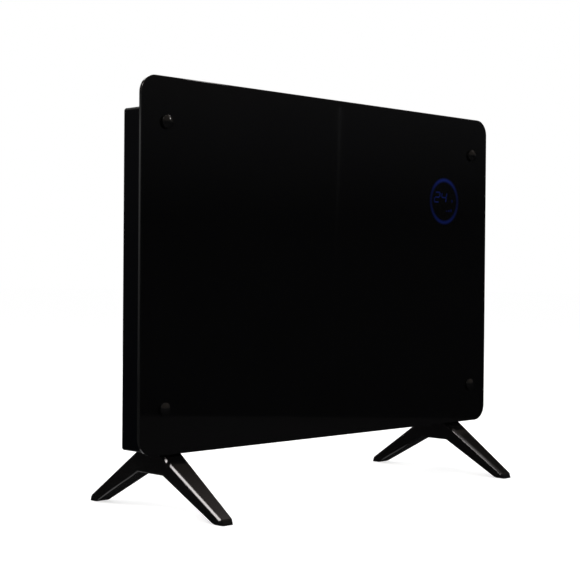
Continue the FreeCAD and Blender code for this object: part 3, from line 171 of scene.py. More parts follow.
def grained(name, color, roughness, grain, depth, tone_spread=0.15, gloss_spread=0.05, stretch=EVEN,
            soften=0.0, **sockets):
    """A surface with a fine grain: patchy colour, uneven gloss and a shallow relief."""
    look = Look(name, **sockets)
    patches = look.noise(grain * GRAINS_PER_PATCH, stretch=stretch)
    look.feed("Base Color", look.patchy(patches, color, 1 - tone_spread, 1 + tone_spread))
    look.feed("Roughness", look.span(patches, roughness - gloss_spread, roughness + gloss_spread))
    look.relief(look.noise(grain, stretch=stretch), depth, soften)
    return look


GLASS_CLOUD = 90 * MM
CLOUD_SHADES = (0.9, 1.15)
GLASS_WIPE = 14 * MM
WIPE_STRETCH = (4.0, 1.0, 1.0)
WIPE_GLOSS = (0.015, 0.05)
# How far a normal lies along Y, on the glass's polished edge and on its faces
EDGE_ALONG, FACE_ALONG = 0.55, 0.95


def glass_look():
    """Back-printed glass: black through the faces, paler in the polished edge, with faint wiping marks."""
    look = Look("black_glass", IOR=1.5)
    normal = look.add("ShaderNodeNewGeometry").outputs["True Normal"]
    along = math_node(look.tree, "ABSOLUTE", look.add("ShaderNodeSeparateXYZ", Vector=normal).outputs["Y"])
    edge = look.span(along, 1.0, 0.0, EDGE_ALONG, FACE_ALONG)
    front = look.patchy(look.noise(GLASS_CLOUD, detail=5.0), BLACK_PRINT, *CLOUD_SHADES)
    look.feed("Base Color", look.mix(edge, front, GLASS_EDGE))
    look.feed("Roughness", look.span(look.noise(GLASS_WIPE, detail=6.0, stretch=WIPE_STRETCH), *WIPE_GLOSS))
    return look


TRACK_PITCH = 6 * MM
TRACK_RAISE = 0.03 * MM
# How far from its middle line a track keeps its full tone, and where it ends, as shares of the pitch
TRACK_CORE, TRACK_RIM = 0.03, 0.08
BOARD_GRAIN = 3 * MM
BOARD_GLOSS = (0.3, 0.45)


def board_look(name, color, track_color):
    """A circuit board: solder mask with paler tracks under it."""
    look = Look(name)
    cells = look.add("ShaderNodeTexVoronoi", {"feature": "DISTANCE_TO_EDGE", "distance": "MANHATTAN"},
                     Vector=look.place, Scale=1 / TRACK_PITCH)
    tracks = look.span(cells.outputs["Distance"], 1.0, 0.0, TRACK_CORE, TRACK_RIM)
    look.feed("Base Color", look.mix(tracks, color, track_color))
    look.feed("Roughness", look.span(look.noise(BOARD_GRAIN), *BOARD_GLOSS))
    look.relief(tracks, TRACK_RAISE)
    return look


GLOW_PATCH = 18 * MM
GLOW_GLOSS = 0.08
GLOW_SHADES = (0.6, 1.2)
UNLIT_SHADES = (0.9, 1.0)


def lit_look(name, color):
    """A lamp shining through the print: an uneven glow on a black face."""
    look = Look(name, Roughness=GLOW_GLOSS, Emission_Strength=1.0)
    patches = look.noise(GLOW_PATCH, detail=2.0)
    look.feed("Base Color", look.patchy(patches, BLACK_PRINT, *UNLIT_SHADES))
    look.feed("Emission Color", look.patchy(patches, color, *GLOW_SHADES))
    return look


# Brightness of the lit ring from its bottom to its top, as shares of its colour
RING_LEVELS = ((0.0, 0.6), (0.25, 0.34), (0.5, 0.22), (0.75, 0.34), (1.0, 0.92))


def ring_look(name, color, centre, middle, reach):
    """A round lamp behind the print: brightest on its middle line and at the top, fading to both rims."""
    look = Look(name, Roughness=GLOW_GLOSS, Emission_Strength=1.0)
    look.feed("Base Color", look.patchy(look.noise(GLOW_PATCH), BLACK_PRINT, *UNLIT_SHADES))
    away = look.add("ShaderNodeVectorMath", {"operation": "DISTANCE"})
    for value, socket in zip((look.place, centre), away.inputs):
        plug(look.tree, value, socket)
    inner_half = look.span(away.outputs["Value"], 0.0, 1.0, middle - reach, middle)
    outer_half = look.span(away.outputs["Value"], 1.0, 0.0, middle, middle + reach)
    band = math_node(look.tree, "MULTIPLY", inner_half, outer_half)
    height = look.add("ShaderNodeSeparateXYZ", Vector=look.place).outputs["Z"]
    level = look.span(height, 0.0, 1.0, centre.z - middle, centre.z + middle)
    tone = ramp(look.tree, level, [(position, shade(color, part)) for position, part in RING_LEVELS])
    look.feed("Emission Color", look.mix(band, (0.0, 0.0, 0.0), tone))
    return look


# Each grained look: its colour, roughness, the size of its grain and the depth of its relief
LOOKS = {
    "black_glass": glass_look(),
    "cap_metal": grained("black_nickel", (0.0022, 0.0022, 0.0023), 0.14, 0.5 * MM, 0.0008 * MM),
    "black_rubber": grained("black_rubber", (0.006, 0.006, 0.006), 0.75, 0.4 * MM, 0.03 * MM),
    "zinc_steel": grained("zinc_steel", (0.48, 0.47, 0.43), 0.35, 0.5 * MM, 0.01 * MM, Metallic=1.0,
                          stretch=(6.0, 1.0, 1.0)),
    "nylon": grained("nylon", (0.7, 0.69, 0.64), 0.5, 0.6 * MM, 0.01 * MM, Subsurface_Weight=0.1),
    "casing_paint": grained("casing_coat", CASING_BLACK, 0.42, 0.7 * MM, 0.02 * MM, tone_spread=0.12,
                            Specular_IOR_Level=0.12),
    "grille_paint": grained("grille_coat", shade(COVER_GREY, 0.7), 0.45, 0.7 * MM, 0.02 * MM),
    "cover_paint": grained("cover_coat", COVER_GREY, 0.5, 0.7 * MM, 0.03 * MM, tone_spread=0.04),
    "black_screw": grained("black_oxide", (0.012, 0.012, 0.013), 0.38, 0.3 * MM, 0.01 * MM, tone_spread=0.3,
                           Metallic=0.6),
    "foot_plastic": grained("foot_gloss", FOOT_BLACK, 0.1, 2.5 * MM, 0.002 * MM, gloss_spread=0.03,
                            soften=2.5 * MM),
    "fin_aluminium": grained("fin_aluminium", (0.7, 0.7, 0.71), 0.3, 0.3 * MM, 0.01 * MM, Metallic=1.0,
                             stretch=(60.0, 1.0, 1.0)),
    "heater_steel": grained("heater_steel", (0.3, 0.27, 0.25), 0.4, 0.4 * MM, 0.01 * MM, tone_spread=0.3,
                            Metallic=1.0, stretch=(12.0, 1.0, 1.0)),
    "ceramic": grained("ceramic", (0.74, 0.71, 0.64), 0.6, 0.5 * MM, 0.02 * MM, tone_spread=0.08),
    "component_black": grained("component_black", (0.016, 0.016, 0.016), 0.5, 0.3 * MM, 0.01 * MM),
    "component_blue": grained("relay_case", (0.03, 0.11, 0.42), 0.3, 0.4 * MM, 0.008 * MM),
    "component_yellow": grained("winding_tape", (0.62, 0.45, 0.06), 0.4, 0.5 * MM, 0.02 * MM,
                                stretch=(1.0, 1.0, 8.0)),
    "component_green": grained("terminal_green", (0.03, 0.24, 0.09), 0.45, 0.4 * MM, 0.01 * MM),
    "circuit_board": board_look("circuit_board", (0.012, 0.09, 0.035), (0.03, 0.19, 0.07)),
    "light_guide": lit_look("light_guide", RING_BLUE),
    "brass_fitting": grained("turned_brass", (0.66, 0.48, 0.2), 0.28, 0.2 * MM, 0.006 * MM, Metallic=1.0,
                             stretch=(8.0, 8.0, 1.0)),
    "lead_white": grained("lead_sleeve", (0.66, 0.63, 0.57), 0.7, 0.5 * MM, 0.05 * MM,
                          stretch=(2.0, 1.0, 1.0)),
    "lead_brown": grained("lead_brown", (0.13, 0.05, 0.02), 0.5, 0.5 * MM, 0.02 * MM),
    "switch_plastic": grained("switch_gloss", (0.004, 0.004, 0.004), 0.25, 0.6 * MM, 0.006 * MM),
    "gland_plastic": grained("gland_nylon", (0.007, 0.007, 0.007), 0.5, 0.5 * MM, 0.015 * MM),
}
MARK_WHITE = grained("mark_white", (0.62, 0.62, 0.6), 0.5, 0.3 * MM, 0.005 * MM, tone_spread=0.08)

# Nodes whose look differs from that of their slot
OWN_LOOK = {"rear_cover": "cover_paint"}

for label, cad_object in frame["nodes"].items():
    cad_object.data.materials.clear()
    cad_object.data.materials.append(LOOKS[OWN_LOOK.get(label, SLOT_OF[label])].mat)


# Mesh helpers

SHARP_ANGLE = math.radians(35)
SAME_POINT = 1e-6
ON_AXIS = 1e-7


def link_object(name, data):
    item = bpy.data.objects.new(name, data)
    bpy.context.scene.collection.objects.link(item)
    return item


def finished_mesh(name, data):
    """Turns bmesh data into a mesh, and frees it."""
    mesh = bpy.data.meshes.new(name)
    data.to_mesh(mesh)
    data.free()
    return mesh


def new_piece(name, data, look, body):
    """Turns finished bmesh data into a smooth-shaded piece that rides on a body."""
    mesh = finished_mesh(name, data)
    mesh.shade_smooth()
    mesh.set_sharp_from_angle(angle=SHARP_ANGLE)
    mesh.materials.append(look.mat)
    item = link_object(name, mesh)
    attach(item, body)
    return item


def facing(direction):
    """A rotation that turns +Z into a direction."""
    return Vector((0, 0, 1)).rotation_difference(Vector(direction)).to_matrix().to_4x4()


def rounded_profile(points, radius, steps=4):
    """Rounds each inner corner of an open profile of (radius, along) points with an arc."""
    result = [Vector(points[0])]
    for before, corner, after in zip(points, points[1:], points[2:]):
        corner = Vector(corner)
        back = (Vector(before) - corner).normalized()
        on = (Vector(after) - corner).normalized()
        half = back.angle(on) / 2
        trim = radius / math.tan(half)
        centre = corner + (back + on).normalized() * (radius / math.sin(half))
        start = (corner + back * trim - centre).normalized()
        end = (corner + on * trim - centre).normalized()
        result += [centre + start.slerp(end, step / steps) * radius for step in range(steps + 1)]
    result.append(Vector(points[-1]))
    return result


def lathe(data, profile, place, segments=56, ripple=0.0):
    """Spins a profile of (radius, along) points about the Z axis of a placing matrix."""
    rings = []
    for point in profile:
        if point.x < ON_AXIS:
            rings.append([data.verts.new(place @ Vector((0, 0, point.y)))])
            continue
        ring = []
        for i in range(segments):
            angle = 2 * math.pi * i / segments
            reach = point.x - (ripple if i % 2 else 0.0)
            spot = Vector((reach * math.cos(angle), reach * math.sin(angle), point.y))
            ring.append(data.verts.new(place @ spot))
        rings.append(ring)
    for lower, upper in zip(rings, rings[1:]):
        for i in range(segments):
            j = (i + 1) % segments
            corners = [lower[i % len(lower)], lower[j % len(lower)],
                       upper[j % len(upper)], upper[i % len(upper)]]
            data.faces.new(list(dict.fromkeys(corners)))


def raised_ring(data, inner, outer, place, lift, segments):
    """A flat ring with its two walls, raised along the placed Z axis."""
    profile = [(inner, 0), (inner, lift), (outer, lift), (outer, 0)]
    lathe(data, [Vector(point) for point in profile], place, segments)


def prism(data, outline, place, depth):
    """A flat bar: an outline of (x, y) points raised by depth along the placed Z axis."""
    base = [data.verts.new(place @ Vector((x, y, 0))) for x, y in outline]
    top = [data.verts.new(place @ Vector((x, y, depth))) for x, y in outline]
    count = len(outline)
    data.faces.new(base[::-1])
    data.faces.new(top)
    for i in range(count):
        j = (i + 1) % count
        data.faces.new([base[i], base[j], top[j], top[i]])


def rectangle(left, bottom, right, top):
    return [(left, bottom), (right, bottom), (right, top), (left, top)]


def islands(label):
    """The lowest and highest corners of each separate solid of a node, from left to right and upwards."""
    data = bmesh.new()
    data.from_mesh(frame["nodes"][label].data)
    bmesh.ops.remove_doubles(data, verts=data.verts, dist=SAME_POINT)
    unvisited, boxes = set(data.verts), []
    while unvisited:
        group, waiting = set(), [next(iter(unvisited))]
        while waiting:
            vert = waiting.pop()
            if vert in group:
                continue
            group.add(vert)
            waiting += [edge.other_vert(vert) for edge in vert.link_edges]
        unvisited -= group
        low = Vector(map(min, zip(*(vert.co for vert in group))))
        high = Vector(map(max, zip(*(vert.co for vert in group))))
        boxes.append((low, high))
    data.free()
    return sorted(boxes, key=lambda box: [round(part, 4) for part in ((box[0] + box[1]) / 2).xz])


# Cap nuts on the glass

CAP_RIM = 2.0 * MM
CAP_FACE = 4.8 * MM
CAP_ROUND = 0.45 * MM
CAP_TILT = math.radians(37)
CAP_STEPS = 10
# Inner radius of a cap's underside, as a share of its outer radius
CAP_UNDERSIDE = 0.6

caps = bmesh.new()
for low, high in islands("glass_caps"):
    centre, size = (low + high) / 2, high - low
    outer, height = size.x / 2, size.y
    curve = CAP_FACE / math.sin(CAP_TILT)
    tilts = [CAP_TILT * (1 - step / CAP_STEPS) for step in range(CAP_STEPS + 1)]
    dome = [Vector((curve * math.sin(tilt), height - curve * (1 - math.cos(tilt)))) for tilt in tilts]
    side = [(CAP_UNDERSIDE * outer, 0), (outer, 0), (outer, CAP_RIM), dome[0]]
    foot = Matrix.Translation((centre.x, high.y, centre.z)) @ facing((0, -1, 0))
    lathe(caps, rounded_profile(side, CAP_ROUND) + dome[1:], foot)
cap_nuts = new_piece("cap_nuts", caps, LOOKS["cap_metal"], "heater")
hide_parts("glass_caps")


# Screws of the rear cover, with a cross recess in each domed head

SCREW_SHOWN = 2.0 * MM
HEAD_ROUND = 0.25 * MM
HEAD_SEGMENTS = 40
# Heights of the head's side, shoulder and recess floor over its middle, as shares of half its height
HEAD_SIDE, HEAD_SHOULDER, RECESS_FLOOR = 0.35, 0.85, 0.25
# Shares of the head's radius: its shoulder, and the reach and half width of the recess's arms
SHOULDER_REACH, RECESS_REACH, RECESS_HALF = 0.72, 0.62, 0.17


def cross_recess_head(radius, height):
    """A domed head that faces +Z, from -height to height, with its recess cut out."""
    head = bmesh.new()
    dome = [(0, -height), (radius, -height), (radius, HEAD_SIDE * height),
            (SHOULDER_REACH * radius, HEAD_SHOULDER * height), (0, height)]
    lathe(head, rounded_profile(dome, HEAD_ROUND), Matrix.Identity(4), HEAD_SEGMENTS)
    recess = bmesh.new()
    reach, half = RECESS_REACH * radius, RECESS_HALF * radius
    arm, cross = [(half, half), (half, reach), (-half, reach)], []
    for _ in range(4):
        cross += arm
        arm = [(-y, x) for x, y in arm]
    prism(recess, cross, Matrix.Translation((0, 0, RECESS_FLOOR * height)), height)
    solids = []
    for name, data in (("head_solid", head), ("head_recess", recess)):
        bmesh.ops.recalc_face_normals(data, faces=data.faces)
        solids.append(link_object(name, finished_mesh(name, data)))
    cut = solids[0].modifiers.new("recess", "BOOLEAN")
    cut.operation = "DIFFERENCE"
    cut.object = solids[1]
    view = bpy.context.evaluated_depsgraph_get()
    result = bpy.data.meshes.new_from_object(solids[0].evaluated_get(view))
    for item in solids:
        bpy.data.objects.remove(item)
    return result


screws = bmesh.new()
screw_boxes = islands("rear_cover_screws")
screw_size = screw_boxes[0][1] - screw_boxes[0][0]
screw_head = cross_recess_head(max(screw_size.x, screw_size.z) / 2, SCREW_SHOWN / 2)
for low, high in screw_boxes:
    centre = (low + high) / 2
    seat = Matrix.Translation((centre.x, high.y - SCREW_SHOWN / 2, centre.z)) @ facing((0, 1, 0))
    start = len(screws.verts)
    screws.from_mesh(screw_head)
    screws.verts.ensure_lookup_table()
    bmesh.ops.transform(screws, matrix=seat, verts=screws.verts[start:])
cover_screws = new_piece("cover_screws", screws, LOOKS["black_screw"], "heater")
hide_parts("rear_cover_screws")


# Display: ring, digits and small marks shining through the print

GLOW_LIFT = 0.12 * MM
RING_MIDDLE = 29.4 * MM
RING_FADE = 3.6 * MM
RING_SEGMENTS = 96
RING_STRENGTH = 1.25
DIGIT_STRENGTH = 0.72
MARK_STRENGTH = 0.55

glass_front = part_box("front_glass")[0].y
ring_low, ring_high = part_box("light_ring")
display = (ring_low + ring_high) / 2
glow_middle = Vector((display.x, glass_front, display.z))
on_glass = Matrix.Translation(glow_middle) @ Matrix.Rotation(math.pi / 2, 4, "X")

glow = bmesh.new()
raised_ring(glow, RING_MIDDLE - RING_FADE, RING_MIDDLE + RING_FADE, on_glass, GLOW_LIFT, RING_SEGMENTS)
ring_glow = ring_look("ring_glow", shade(RING_BLUE, RING_STRENGTH), glow_middle - Vector((0, GLOW_LIFT, 0)),
                      RING_MIDDLE, RING_FADE)
new_piece("display_ring", glow, ring_glow, "heater")

DIGIT_WIDTH = 10.5 * MM
DIGIT_HEIGHT = 13.5 * MM
DIGIT_STROKE = 1.9 * MM
DIGIT_GAP = 4.5 * MM
DIGIT_SLANT = 0.22
DIGITS_LEFT = -22.5 * MM
DIGITS_BOTTOM = -1.5 * MM
DIGITS_SHOWN = "24"
# How far a bar stops short of the digit's corner, as a share of half the stroke
CORNER_GAP = 0.3
# The ends of each bar of a digit, as shares of its width and height, and the bars that each digit lights
BARS = {"a": ((0, 1), (1, 1)), "b": ((1, 1), (1, 0.5)), "c": ((1, 0.5), (1, 0)), "d": ((0, 0), (1, 0)),
        "e": ((0, 0.5), (0, 0)), "f": ((0, 1), (0, 0.5)), "g": ((0, 0.5), (1, 0.5))}
LIT_BARS = {"2": "abged", "4": "fgbc"}


def digit_bar(data, start, end, left):
    """One lit bar with pointed ends, between two points of the digit that starts at left."""
    start, end = (Vector((x * DIGIT_WIDTH, y * DIGIT_HEIGHT)) for x, y in (start, end))
    way = (end - start).normalized()
    side = Vector((-way.y, way.x)) * DIGIT_STROKE / 2
    tip = way * DIGIT_STROKE / 2
    start, end = start + tip * CORNER_GAP, end - tip * CORNER_GAP
    outline = [start, start + tip + side, end - tip + side, end, end - tip - side, start + tip - side]
    slanted = [(left + point.x + DIGIT_SLANT * point.y, DIGITS_BOTTOM + point.y) for point in outline]
    prism(data, slanted[::-1], on_glass, GLOW_LIFT)


digits = bmesh.new()
for rank, shape in enumerate(DIGITS_SHOWN):
    for bar in LIT_BARS[shape]:
        digit_bar(digits, *BARS[bar], DIGITS_LEFT + rank * (DIGIT_WIDTH + DIGIT_GAP))
digit_glow = lit_look("digit_glow", shade(RING_BLUE, DIGIT_STRENGTH))
new_piece("display_digits", digits, digit_glow, "heater")

DEGREE_PLACE = (17.5 * MM, 0.8 * MM, 0)
DEGREE_INNER = 0.9 * MM
DEGREE_OUTER = 1.8 * MM
DEGREE_SEGMENTS = 32
LEVEL_COUNT = 3
LEVEL_LEFT = 4.5 * MM
LEVEL_BOTTOM = -14.5 * MM
LEVEL_PITCH = 5.0 * MM
LEVEL_WIDTH = 2.2 * MM
# Heights of the level bars, as shares of their width
LEVEL_FIRST, LEVEL_STEP = 0.8, 0.5

marks = bmesh.new()
degree = on_glass @ Matrix.Translation(DEGREE_PLACE)
raised_ring(marks, DEGREE_INNER, DEGREE_OUTER, degree, GLOW_LIFT, DEGREE_SEGMENTS)
for rank in range(LEVEL_COUNT):
    left = LEVEL_LEFT + rank * LEVEL_PITCH
    level_top = LEVEL_BOTTOM + LEVEL_WIDTH * (LEVEL_FIRST + LEVEL_STEP * rank)
    prism(marks, rectangle(left, LEVEL_BOTTOM, left + LEVEL_WIDTH, level_top), on_glass, GLOW_LIFT)
mark_glow = lit_look("mark_glow", shade(RING_BLUE, MARK_STRENGTH))
new_piece("display_marks", marks, mark_glow, "heater")


# Rocker marks: a bar for on and a ring for off, printed on the two faces of the rocker

ROCKER_REST = math.radians(10)
ROCKER_END = 6 * MM
ROCKER_VALLEY = 4 * MM
ROCKER_HALF = 10.5 * MM
MARK_LIFT = 0.08 * MM
ON_HALF_WIDTH = 0.5 * MM
ON_HALF_HEIGHT = 2.6 * MM
OFF_INNER = 1.9 * MM
OFF_OUTER = 2.8 * MM
OFF_SEGMENTS = 40

rocker_rest = Matrix.Translation(JOINT["rocker_tilt"]["pos_m"]) @ Matrix.Rotation(ROCKER_REST, 4, "X")


def rocker_face(end):
    """The middle of the rocker's upper (1) or lower (-1) face, with +Z out of it."""
    normal = (0, ROCKER_HALF, -end * (ROCKER_END - ROCKER_VALLEY))
    middle = (0, (ROCKER_END + ROCKER_VALLEY) / 2, end * ROCKER_HALF / 2)
    return rocker_rest @ Matrix.Translation(middle) @ facing(normal)


rocker_marks = bmesh.new()
raised_ring(rocker_marks, OFF_INNER, OFF_OUTER, rocker_face(-1), MARK_LIFT, OFF_SEGMENTS)
on_bar = rectangle(-ON_HALF_WIDTH, -ON_HALF_HEIGHT, ON_HALF_WIDTH, ON_HALF_HEIGHT)
prism(rocker_marks, on_bar, rocker_face(1), MARK_LIFT)
new_piece("rocker_marks", rocker_marks, MARK_WHITE, "rocker")


# Cord gland with a ribbed grip

GLAND_FLANGE = 4 * MM
GLAND_BORE = 4.2 * MM
GLAND_NECK = 6.5 * MM
GLAND_CHAMFER_WIDTH = 1.6 * MM
GLAND_CHAMFER_HEIGHT = 1.2 * MM
GLAND_ROUND = 0.3 * MM
GLAND_RIB = 0.25 * MM
GLAND_SEGMENTS = 60

gland_low, gland_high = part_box("cord_gland")
gland_middle = (gland_low + gland_high) / 2
gland_radius = (gland_high.x - gland_low.x) / 2
gland_length = gland_high.y - gland_low.y
flange_start = gland_length - GLAND_FLANGE
chamfer_start = gland_length - GLAND_CHAMFER_HEIGHT
gland_profile = [(GLAND_BORE, 0), (GLAND_NECK, 0), (GLAND_NECK, flange_start), (gland_radius, flange_start),
                 (gland_radius, chamfer_start), (gland_radius - GLAND_CHAMFER_WIDTH, gland_length),
                 (GLAND_BORE, gland_length), (GLAND_BORE, 0)]
gland_inside = Matrix.Translation((gland_middle.x, gland_low.y, gland_middle.z)) @ facing((0, 1, 0))
gland = bmesh.new()
lathe(gland, rounded_profile(gland_profile, GLAND_ROUND), gland_inside, GLAND_SEGMENTS, GLAND_RIB)
gland_body = new_piece("gland_body", gland, LOOKS["gland_plastic"], "heater")
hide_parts("cord_gland")


# Studio: a white floor and background

FLOOR_REACH = 20.0
FLOOR_ALBEDO = (0.8, 0.8, 0.8)
FLOOR_ROUGHNESS = 0.9
FLOOR_LIFT = 0.5
WORLD_FILL = 0.62


def stage_plane(name, corners, material):
    mesh = bpy.data.meshes.new(name)
    mesh.from_pydata(corners, [], [tuple(range(len(corners)))])
    mesh.materials.append(material)
    item = link_object(name, mesh)
    return item


def level_square(reach, height):
    return [(x, y, height) for x, y in rectangle(-reach, -reach, reach, reach)]


def seen_directly(tree):
    """1 on rays from the camera, from gloss and through glass, and 0 on the rays that light things."""
    path = add_node(tree, "ShaderNodeLightPath")
    seen = path.outputs["Is Camera Ray"]
    for ray in ("Is Glossy Ray", "Is Transmission Ray"):
        seen = math_node(tree, "MAXIMUM", seen, path.outputs[ray])
    return seen


def floor_material():
    """A pale floor that reaches white where nothing shades it."""
    mat = bpy.data.materials.new("pale_floor")
    mat.use_nodes = True
    tree = mat.node_tree
    shader = tree.nodes["Principled BSDF"]
    shader.inputs["Base Color"].default_value = (*FLOOR_ALBEDO, 1.0)
    shader.inputs["Roughness"].default_value = FLOOR_ROUGHNESS
    shader.inputs["Specular IOR Level"].default_value = 0.0
    shader.inputs["Emission Color"].default_value = (*WHITE, 1.0)
    lift = math_node(tree, "MULTIPLY", seen_directly(tree), FLOOR_LIFT)
    tree.links.new(lift, shader.inputs["Emission Strength"])
    return mat


def white_world():
    """A background that is white where it is seen, and a softer fill where it lights things."""
    world = bpy.data.worlds.new("studio")
    bpy.context.scene.world = world
    world.use_nodes = True
    tree = world.node_tree
    backdrop = tree.nodes["Background"]
    backdrop.inputs["Color"].default_value = (*WHITE, 1.0)
    level = add_node(tree, "ShaderNodeMapRange", Value=seen_directly(tree), To_Min=WORLD_FILL, To_Max=1.0)
    tree.links.new(level.outputs["Result"], backdrop.inputs["Strength"])


stage_plane("floor", level_square(FLOOR_REACH, 0), floor_material())
white_world()


# Dark room that only the gloss sees: a dome, a dark floor, a table top, a wall, a door gap and small cards

DOME_RADIUS = 3.0
DOME_SEGMENTS = 48
DOME_RINGS = 24
ROOM_LOW = (0.012, 0.012, 0.0125)
ROOM_WALL = (0.051, 0.051, 0.053)
ROOM_CEILING = (0.2, 0.17, 0.145)
# Stops of every fading glow: a share of the way along it, and the glow there
DOME_STOPS = [(0.16, ROOM_LOW), (0.27, ROOM_WALL), (0.6, ROOM_CEILING)]


def glow_material(name, color):
    mat = bpy.data.materials.new(name)
    mat.use_nodes = True
    tree = mat.node_tree
    tree.nodes.clear()
    glow_node = add_node(tree, "ShaderNodeEmission", Color=(*color, 1.0))
    add_node(tree, "ShaderNodeOutputMaterial", Surface=glow_node.outputs["Emission"])
    return mat


def faded_material(name, start, end, stops, axis="Z"):
    """A glow that changes along an axis, from start to end."""
    mat = glow_material(name, WHITE)
    tree = mat.node_tree
    place = add_node(tree, "ShaderNodeTexCoord").outputs["Object"]
    along = add_node(tree, "ShaderNodeSeparateXYZ", Vector=place).outputs[axis]
    part = add_node(tree, "ShaderNodeMapRange", Value=along, From_Min=start, From_Max=end).outputs["Result"]
    glow_node = next(node for node in tree.nodes if node.type == "EMISSION")
    tree.links.new(ramp(tree, part, stops), glow_node.inputs["Color"])
    return mat


def only_in_reflections(item):
    for ray in ("camera", "diffuse", "transmission", "volume_scatter", "shadow"):
        setattr(item, "visible_" + ray, False)


dome_data = bmesh.new()
bmesh.ops.create_uvsphere(dome_data, u_segments=DOME_SEGMENTS, v_segments=DOME_RINGS, radius=DOME_RADIUS)
dome_mesh = finished_mesh("dark_room", dome_data)
dome_mesh.materials.append(faded_material("dark_room", 0.0, DOME_RADIUS, DOME_STOPS))
dome_item = link_object("dark_room", dome_mesh)
only_in_reflections(dome_item)

# Heights of the dark floor, the table top and the glints above the white floor
DARK_LIFT = 0.15 * MM
TABLE_LIFT = 0.3 * MM
GLINT_LIFT = 0.6 * MM
DARK_REACH = 4.0
only_in_reflections(stage_plane("floor_dark", level_square(DARK_REACH, DARK_LIFT),
                                glow_material("floor_tone", ROOM_LOW)))

TABLE_TONE = (0.042, 0.041, 0.041)
TABLE_STOPS = [(0.0, TABLE_TONE), (1.0, shade(TABLE_TONE, 0.55))]
TABLE_FADE = (0.45, 1.05)
TABLE_CORNERS = [(1.035, -0.3), (-1.49, -2.86), (-3.5, -2.86), (-3.5, -0.3)]
only_in_reflections(stage_plane("table_top", [(x, y, TABLE_LIFT) for x, y in TABLE_CORNERS],
                                faded_material("table_tone", *TABLE_FADE, TABLE_STOPS, "X")))

# Height above the floor at which the upright cards start
CARD_FOOT = 1 * MM


def upright(name, foot_sides, top_sides, away, top, stops):
    """A standing card between two X values at its foot and two at its top, fading with height."""
    corners = [(x, away, CARD_FOOT) for x in foot_sides] + [(x, away, top) for x in reversed(top_sides)]
    material = faded_material(name + "_tone", 0.0, top, stops)
    only_in_reflections(stage_plane(name, corners, material))


WALL_SIDES = (-1.72, -1.48)
WALL_AWAY = 1.5
WALL_TOP = 0.74
WALL_STOPS = [(0.0, (0.03, 0.031, 0.033)), (0.33, (0.18, 0.18, 0.183)), (0.88, (0.6, 0.6, 0.6)),
              (1.0, (0.1, 0.1, 0.1))]
upright("pale_wall", WALL_SIDES, WALL_SIDES, WALL_AWAY, WALL_TOP, WALL_STOPS)

GAP_HALF = 2.4 * MM
GAP_FOOT = 1.28
GAP_HEAD = 1.303
GAP_AWAY = -1.225
GAP_TOP = 0.709
GAP_STOPS = [(0.0, shade(WHITE, 0.02)), (0.55, shade(WHITE, 0.03)), (0.8, shade(WHITE, 0.1)),
             (1.0, shade(WHITE, 0.25))]
upright("door_gap", (GAP_FOOT - GAP_HALF, GAP_FOOT + GAP_HALF), (GAP_HEAD - GAP_HALF, GAP_HEAD + GAP_HALF),
        GAP_AWAY, GAP_TOP, GAP_STOPS)


def card(name, place, aim, size, tone):
    """A glowing rectangle that only the gloss sees, turned to a point."""
    turn = Matrix.Translation(place) @ facing(Vector(aim) - Vector(place))
    half_wide, half_high = size[0] / 2, size[1] / 2
    flat = rectangle(-half_wide, -half_high, half_wide, half_high)
    corners = [turn @ Vector((x, y, 0)) for x, y in flat]
    only_in_reflections(stage_plane(name, corners, glow_material(name + "_tone", tone)))


UPPER_LEFT_CAP = (-0.2835, -0.042, 0.4495)
RIGHT_FRONT_LEG = (0.26, -0.07, 0.035)
# Each card: its place, the point that it faces, its size and its glow
CARDS = {
    "cap_sparkle": ((-0.154, -0.087, 0.567), UPPER_LEFT_CAP, (0.045, 0.045), (9.0, 8.8, 8.6)),
    "left_skylight": ((-0.83, -0.36, 1.8), (-0.83, -0.36, 0.0), (0.12, 0.35), (2.4, 2.36, 2.3)),
    "slope_skylight": ((0.93, 0.0, 1.36), (0.93, 0.0, 0.0), (0.5, 0.9), (0.55, 0.48, 0.46)),
    "right_slope_shade": ((1.71, 0.135, 1.08), RIGHT_FRONT_LEG, (0.6, 0.6), (0.04, 0.035, 0.03)),
}
for name, values in CARDS.items():
    card(name, *values)

# Each glint lies flat and faces up: its left, right, front and back edges, and its glow
GLINTS = {
    "corner_glint": (-0.34, -0.24, 0.036, 0.066, 0.45),
    "left_glint": (-0.3, -0.272, 0.06, 0.104, 0.9),
    "right_glint": (0.225, 0.25, 0.06, 0.104, 0.9),
}
for name, (left, right, front, back, glow_level) in GLINTS.items():
    x, y = (left + right) / 2, (front + back) / 2
    card(name, (x, y, GLINT_LIFT), (x, y, 1.0), (right - left, back - front), shade(WHITE, glow_level))


# Lamps

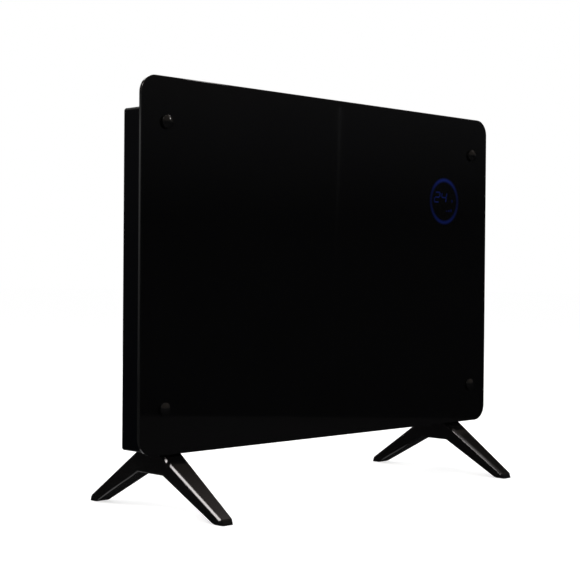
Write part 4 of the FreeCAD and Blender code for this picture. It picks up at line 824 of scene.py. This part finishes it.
HEATER_MIDDLE = (0, 0, 0.25)
LEFT_FRONT_LEG = (-0.27, -0.07, 0.04)
WARM_WHITE = (1.0, 0.95, 0.93)


def soft_lamp(name, place, aim, size, power, color=WHITE):
    data = bpy.data.lights.new(name, "AREA")
    data.shape = "RECTANGLE"
    data.size, data.size_y = size
    data.energy = power
    data.color = color
    item = link_object(name, data)
    item.location = place
    item.rotation_euler = (Vector(aim) - Vector(place)).to_track_quat("-Z", "Y").to_euler()
    return item


soft_lamp("overhead_left", (-1.66, 0.0, 1.8), LEFT_FRONT_LEG, size=(0.45, 0.55), power=13.0, color=WARM_WHITE)
front_fill = soft_lamp("front_fill", (-0.6, -2.2, 1.6), HEATER_MIDDLE, size=(1.4, 0.9), power=12.0)
front_fill.visible_glossy = False
rear_fill = soft_lamp("rear_fill", (0.4, 2.2, 1.7), HEATER_MIDDLE, size=(2.0, 1.4), power=30.0)
rear_fill.data.use_shadow = False


# Camera at the photograph's place, fitted to the glass, the display ring and the feet

CAMERA_YAW = 0.7926943
CAMERA_PITCH = -0.0107287
CAMERA_ROLL = 0.0081383
CAMERA_PLACE = (-1.28924, -1.225, 0.27711)
CAMERA_LENS = 84.954
CAMERA_SENSOR = 36.0

level_forward = Vector((math.sin(CAMERA_YAW), math.cos(CAMERA_YAW), 0))
level_right = Vector((math.cos(CAMERA_YAW), -math.sin(CAMERA_YAW), 0))
forward = math.cos(CAMERA_PITCH) * level_forward + math.sin(CAMERA_PITCH) * Vector((0, 0, 1))
level_up = level_right.cross(forward)
camera_right = math.cos(CAMERA_ROLL) * level_right + math.sin(CAMERA_ROLL) * level_up
camera_up = math.cos(CAMERA_ROLL) * level_up - math.sin(CAMERA_ROLL) * level_right
camera_data = bpy.data.cameras.new("camera")
camera_data.lens = CAMERA_LENS
camera_data.sensor_width = CAMERA_SENSOR
camera = link_object("camera", camera_data)
camera_turn = Matrix((camera_right, camera_up, -forward)).transposed().to_4x4()
camera.matrix_world = Matrix.Translation(CAMERA_PLACE) @ camera_turn
bpy.context.scene.camera = camera

bpy.context.scene.view_settings.view_transform = "Standard"
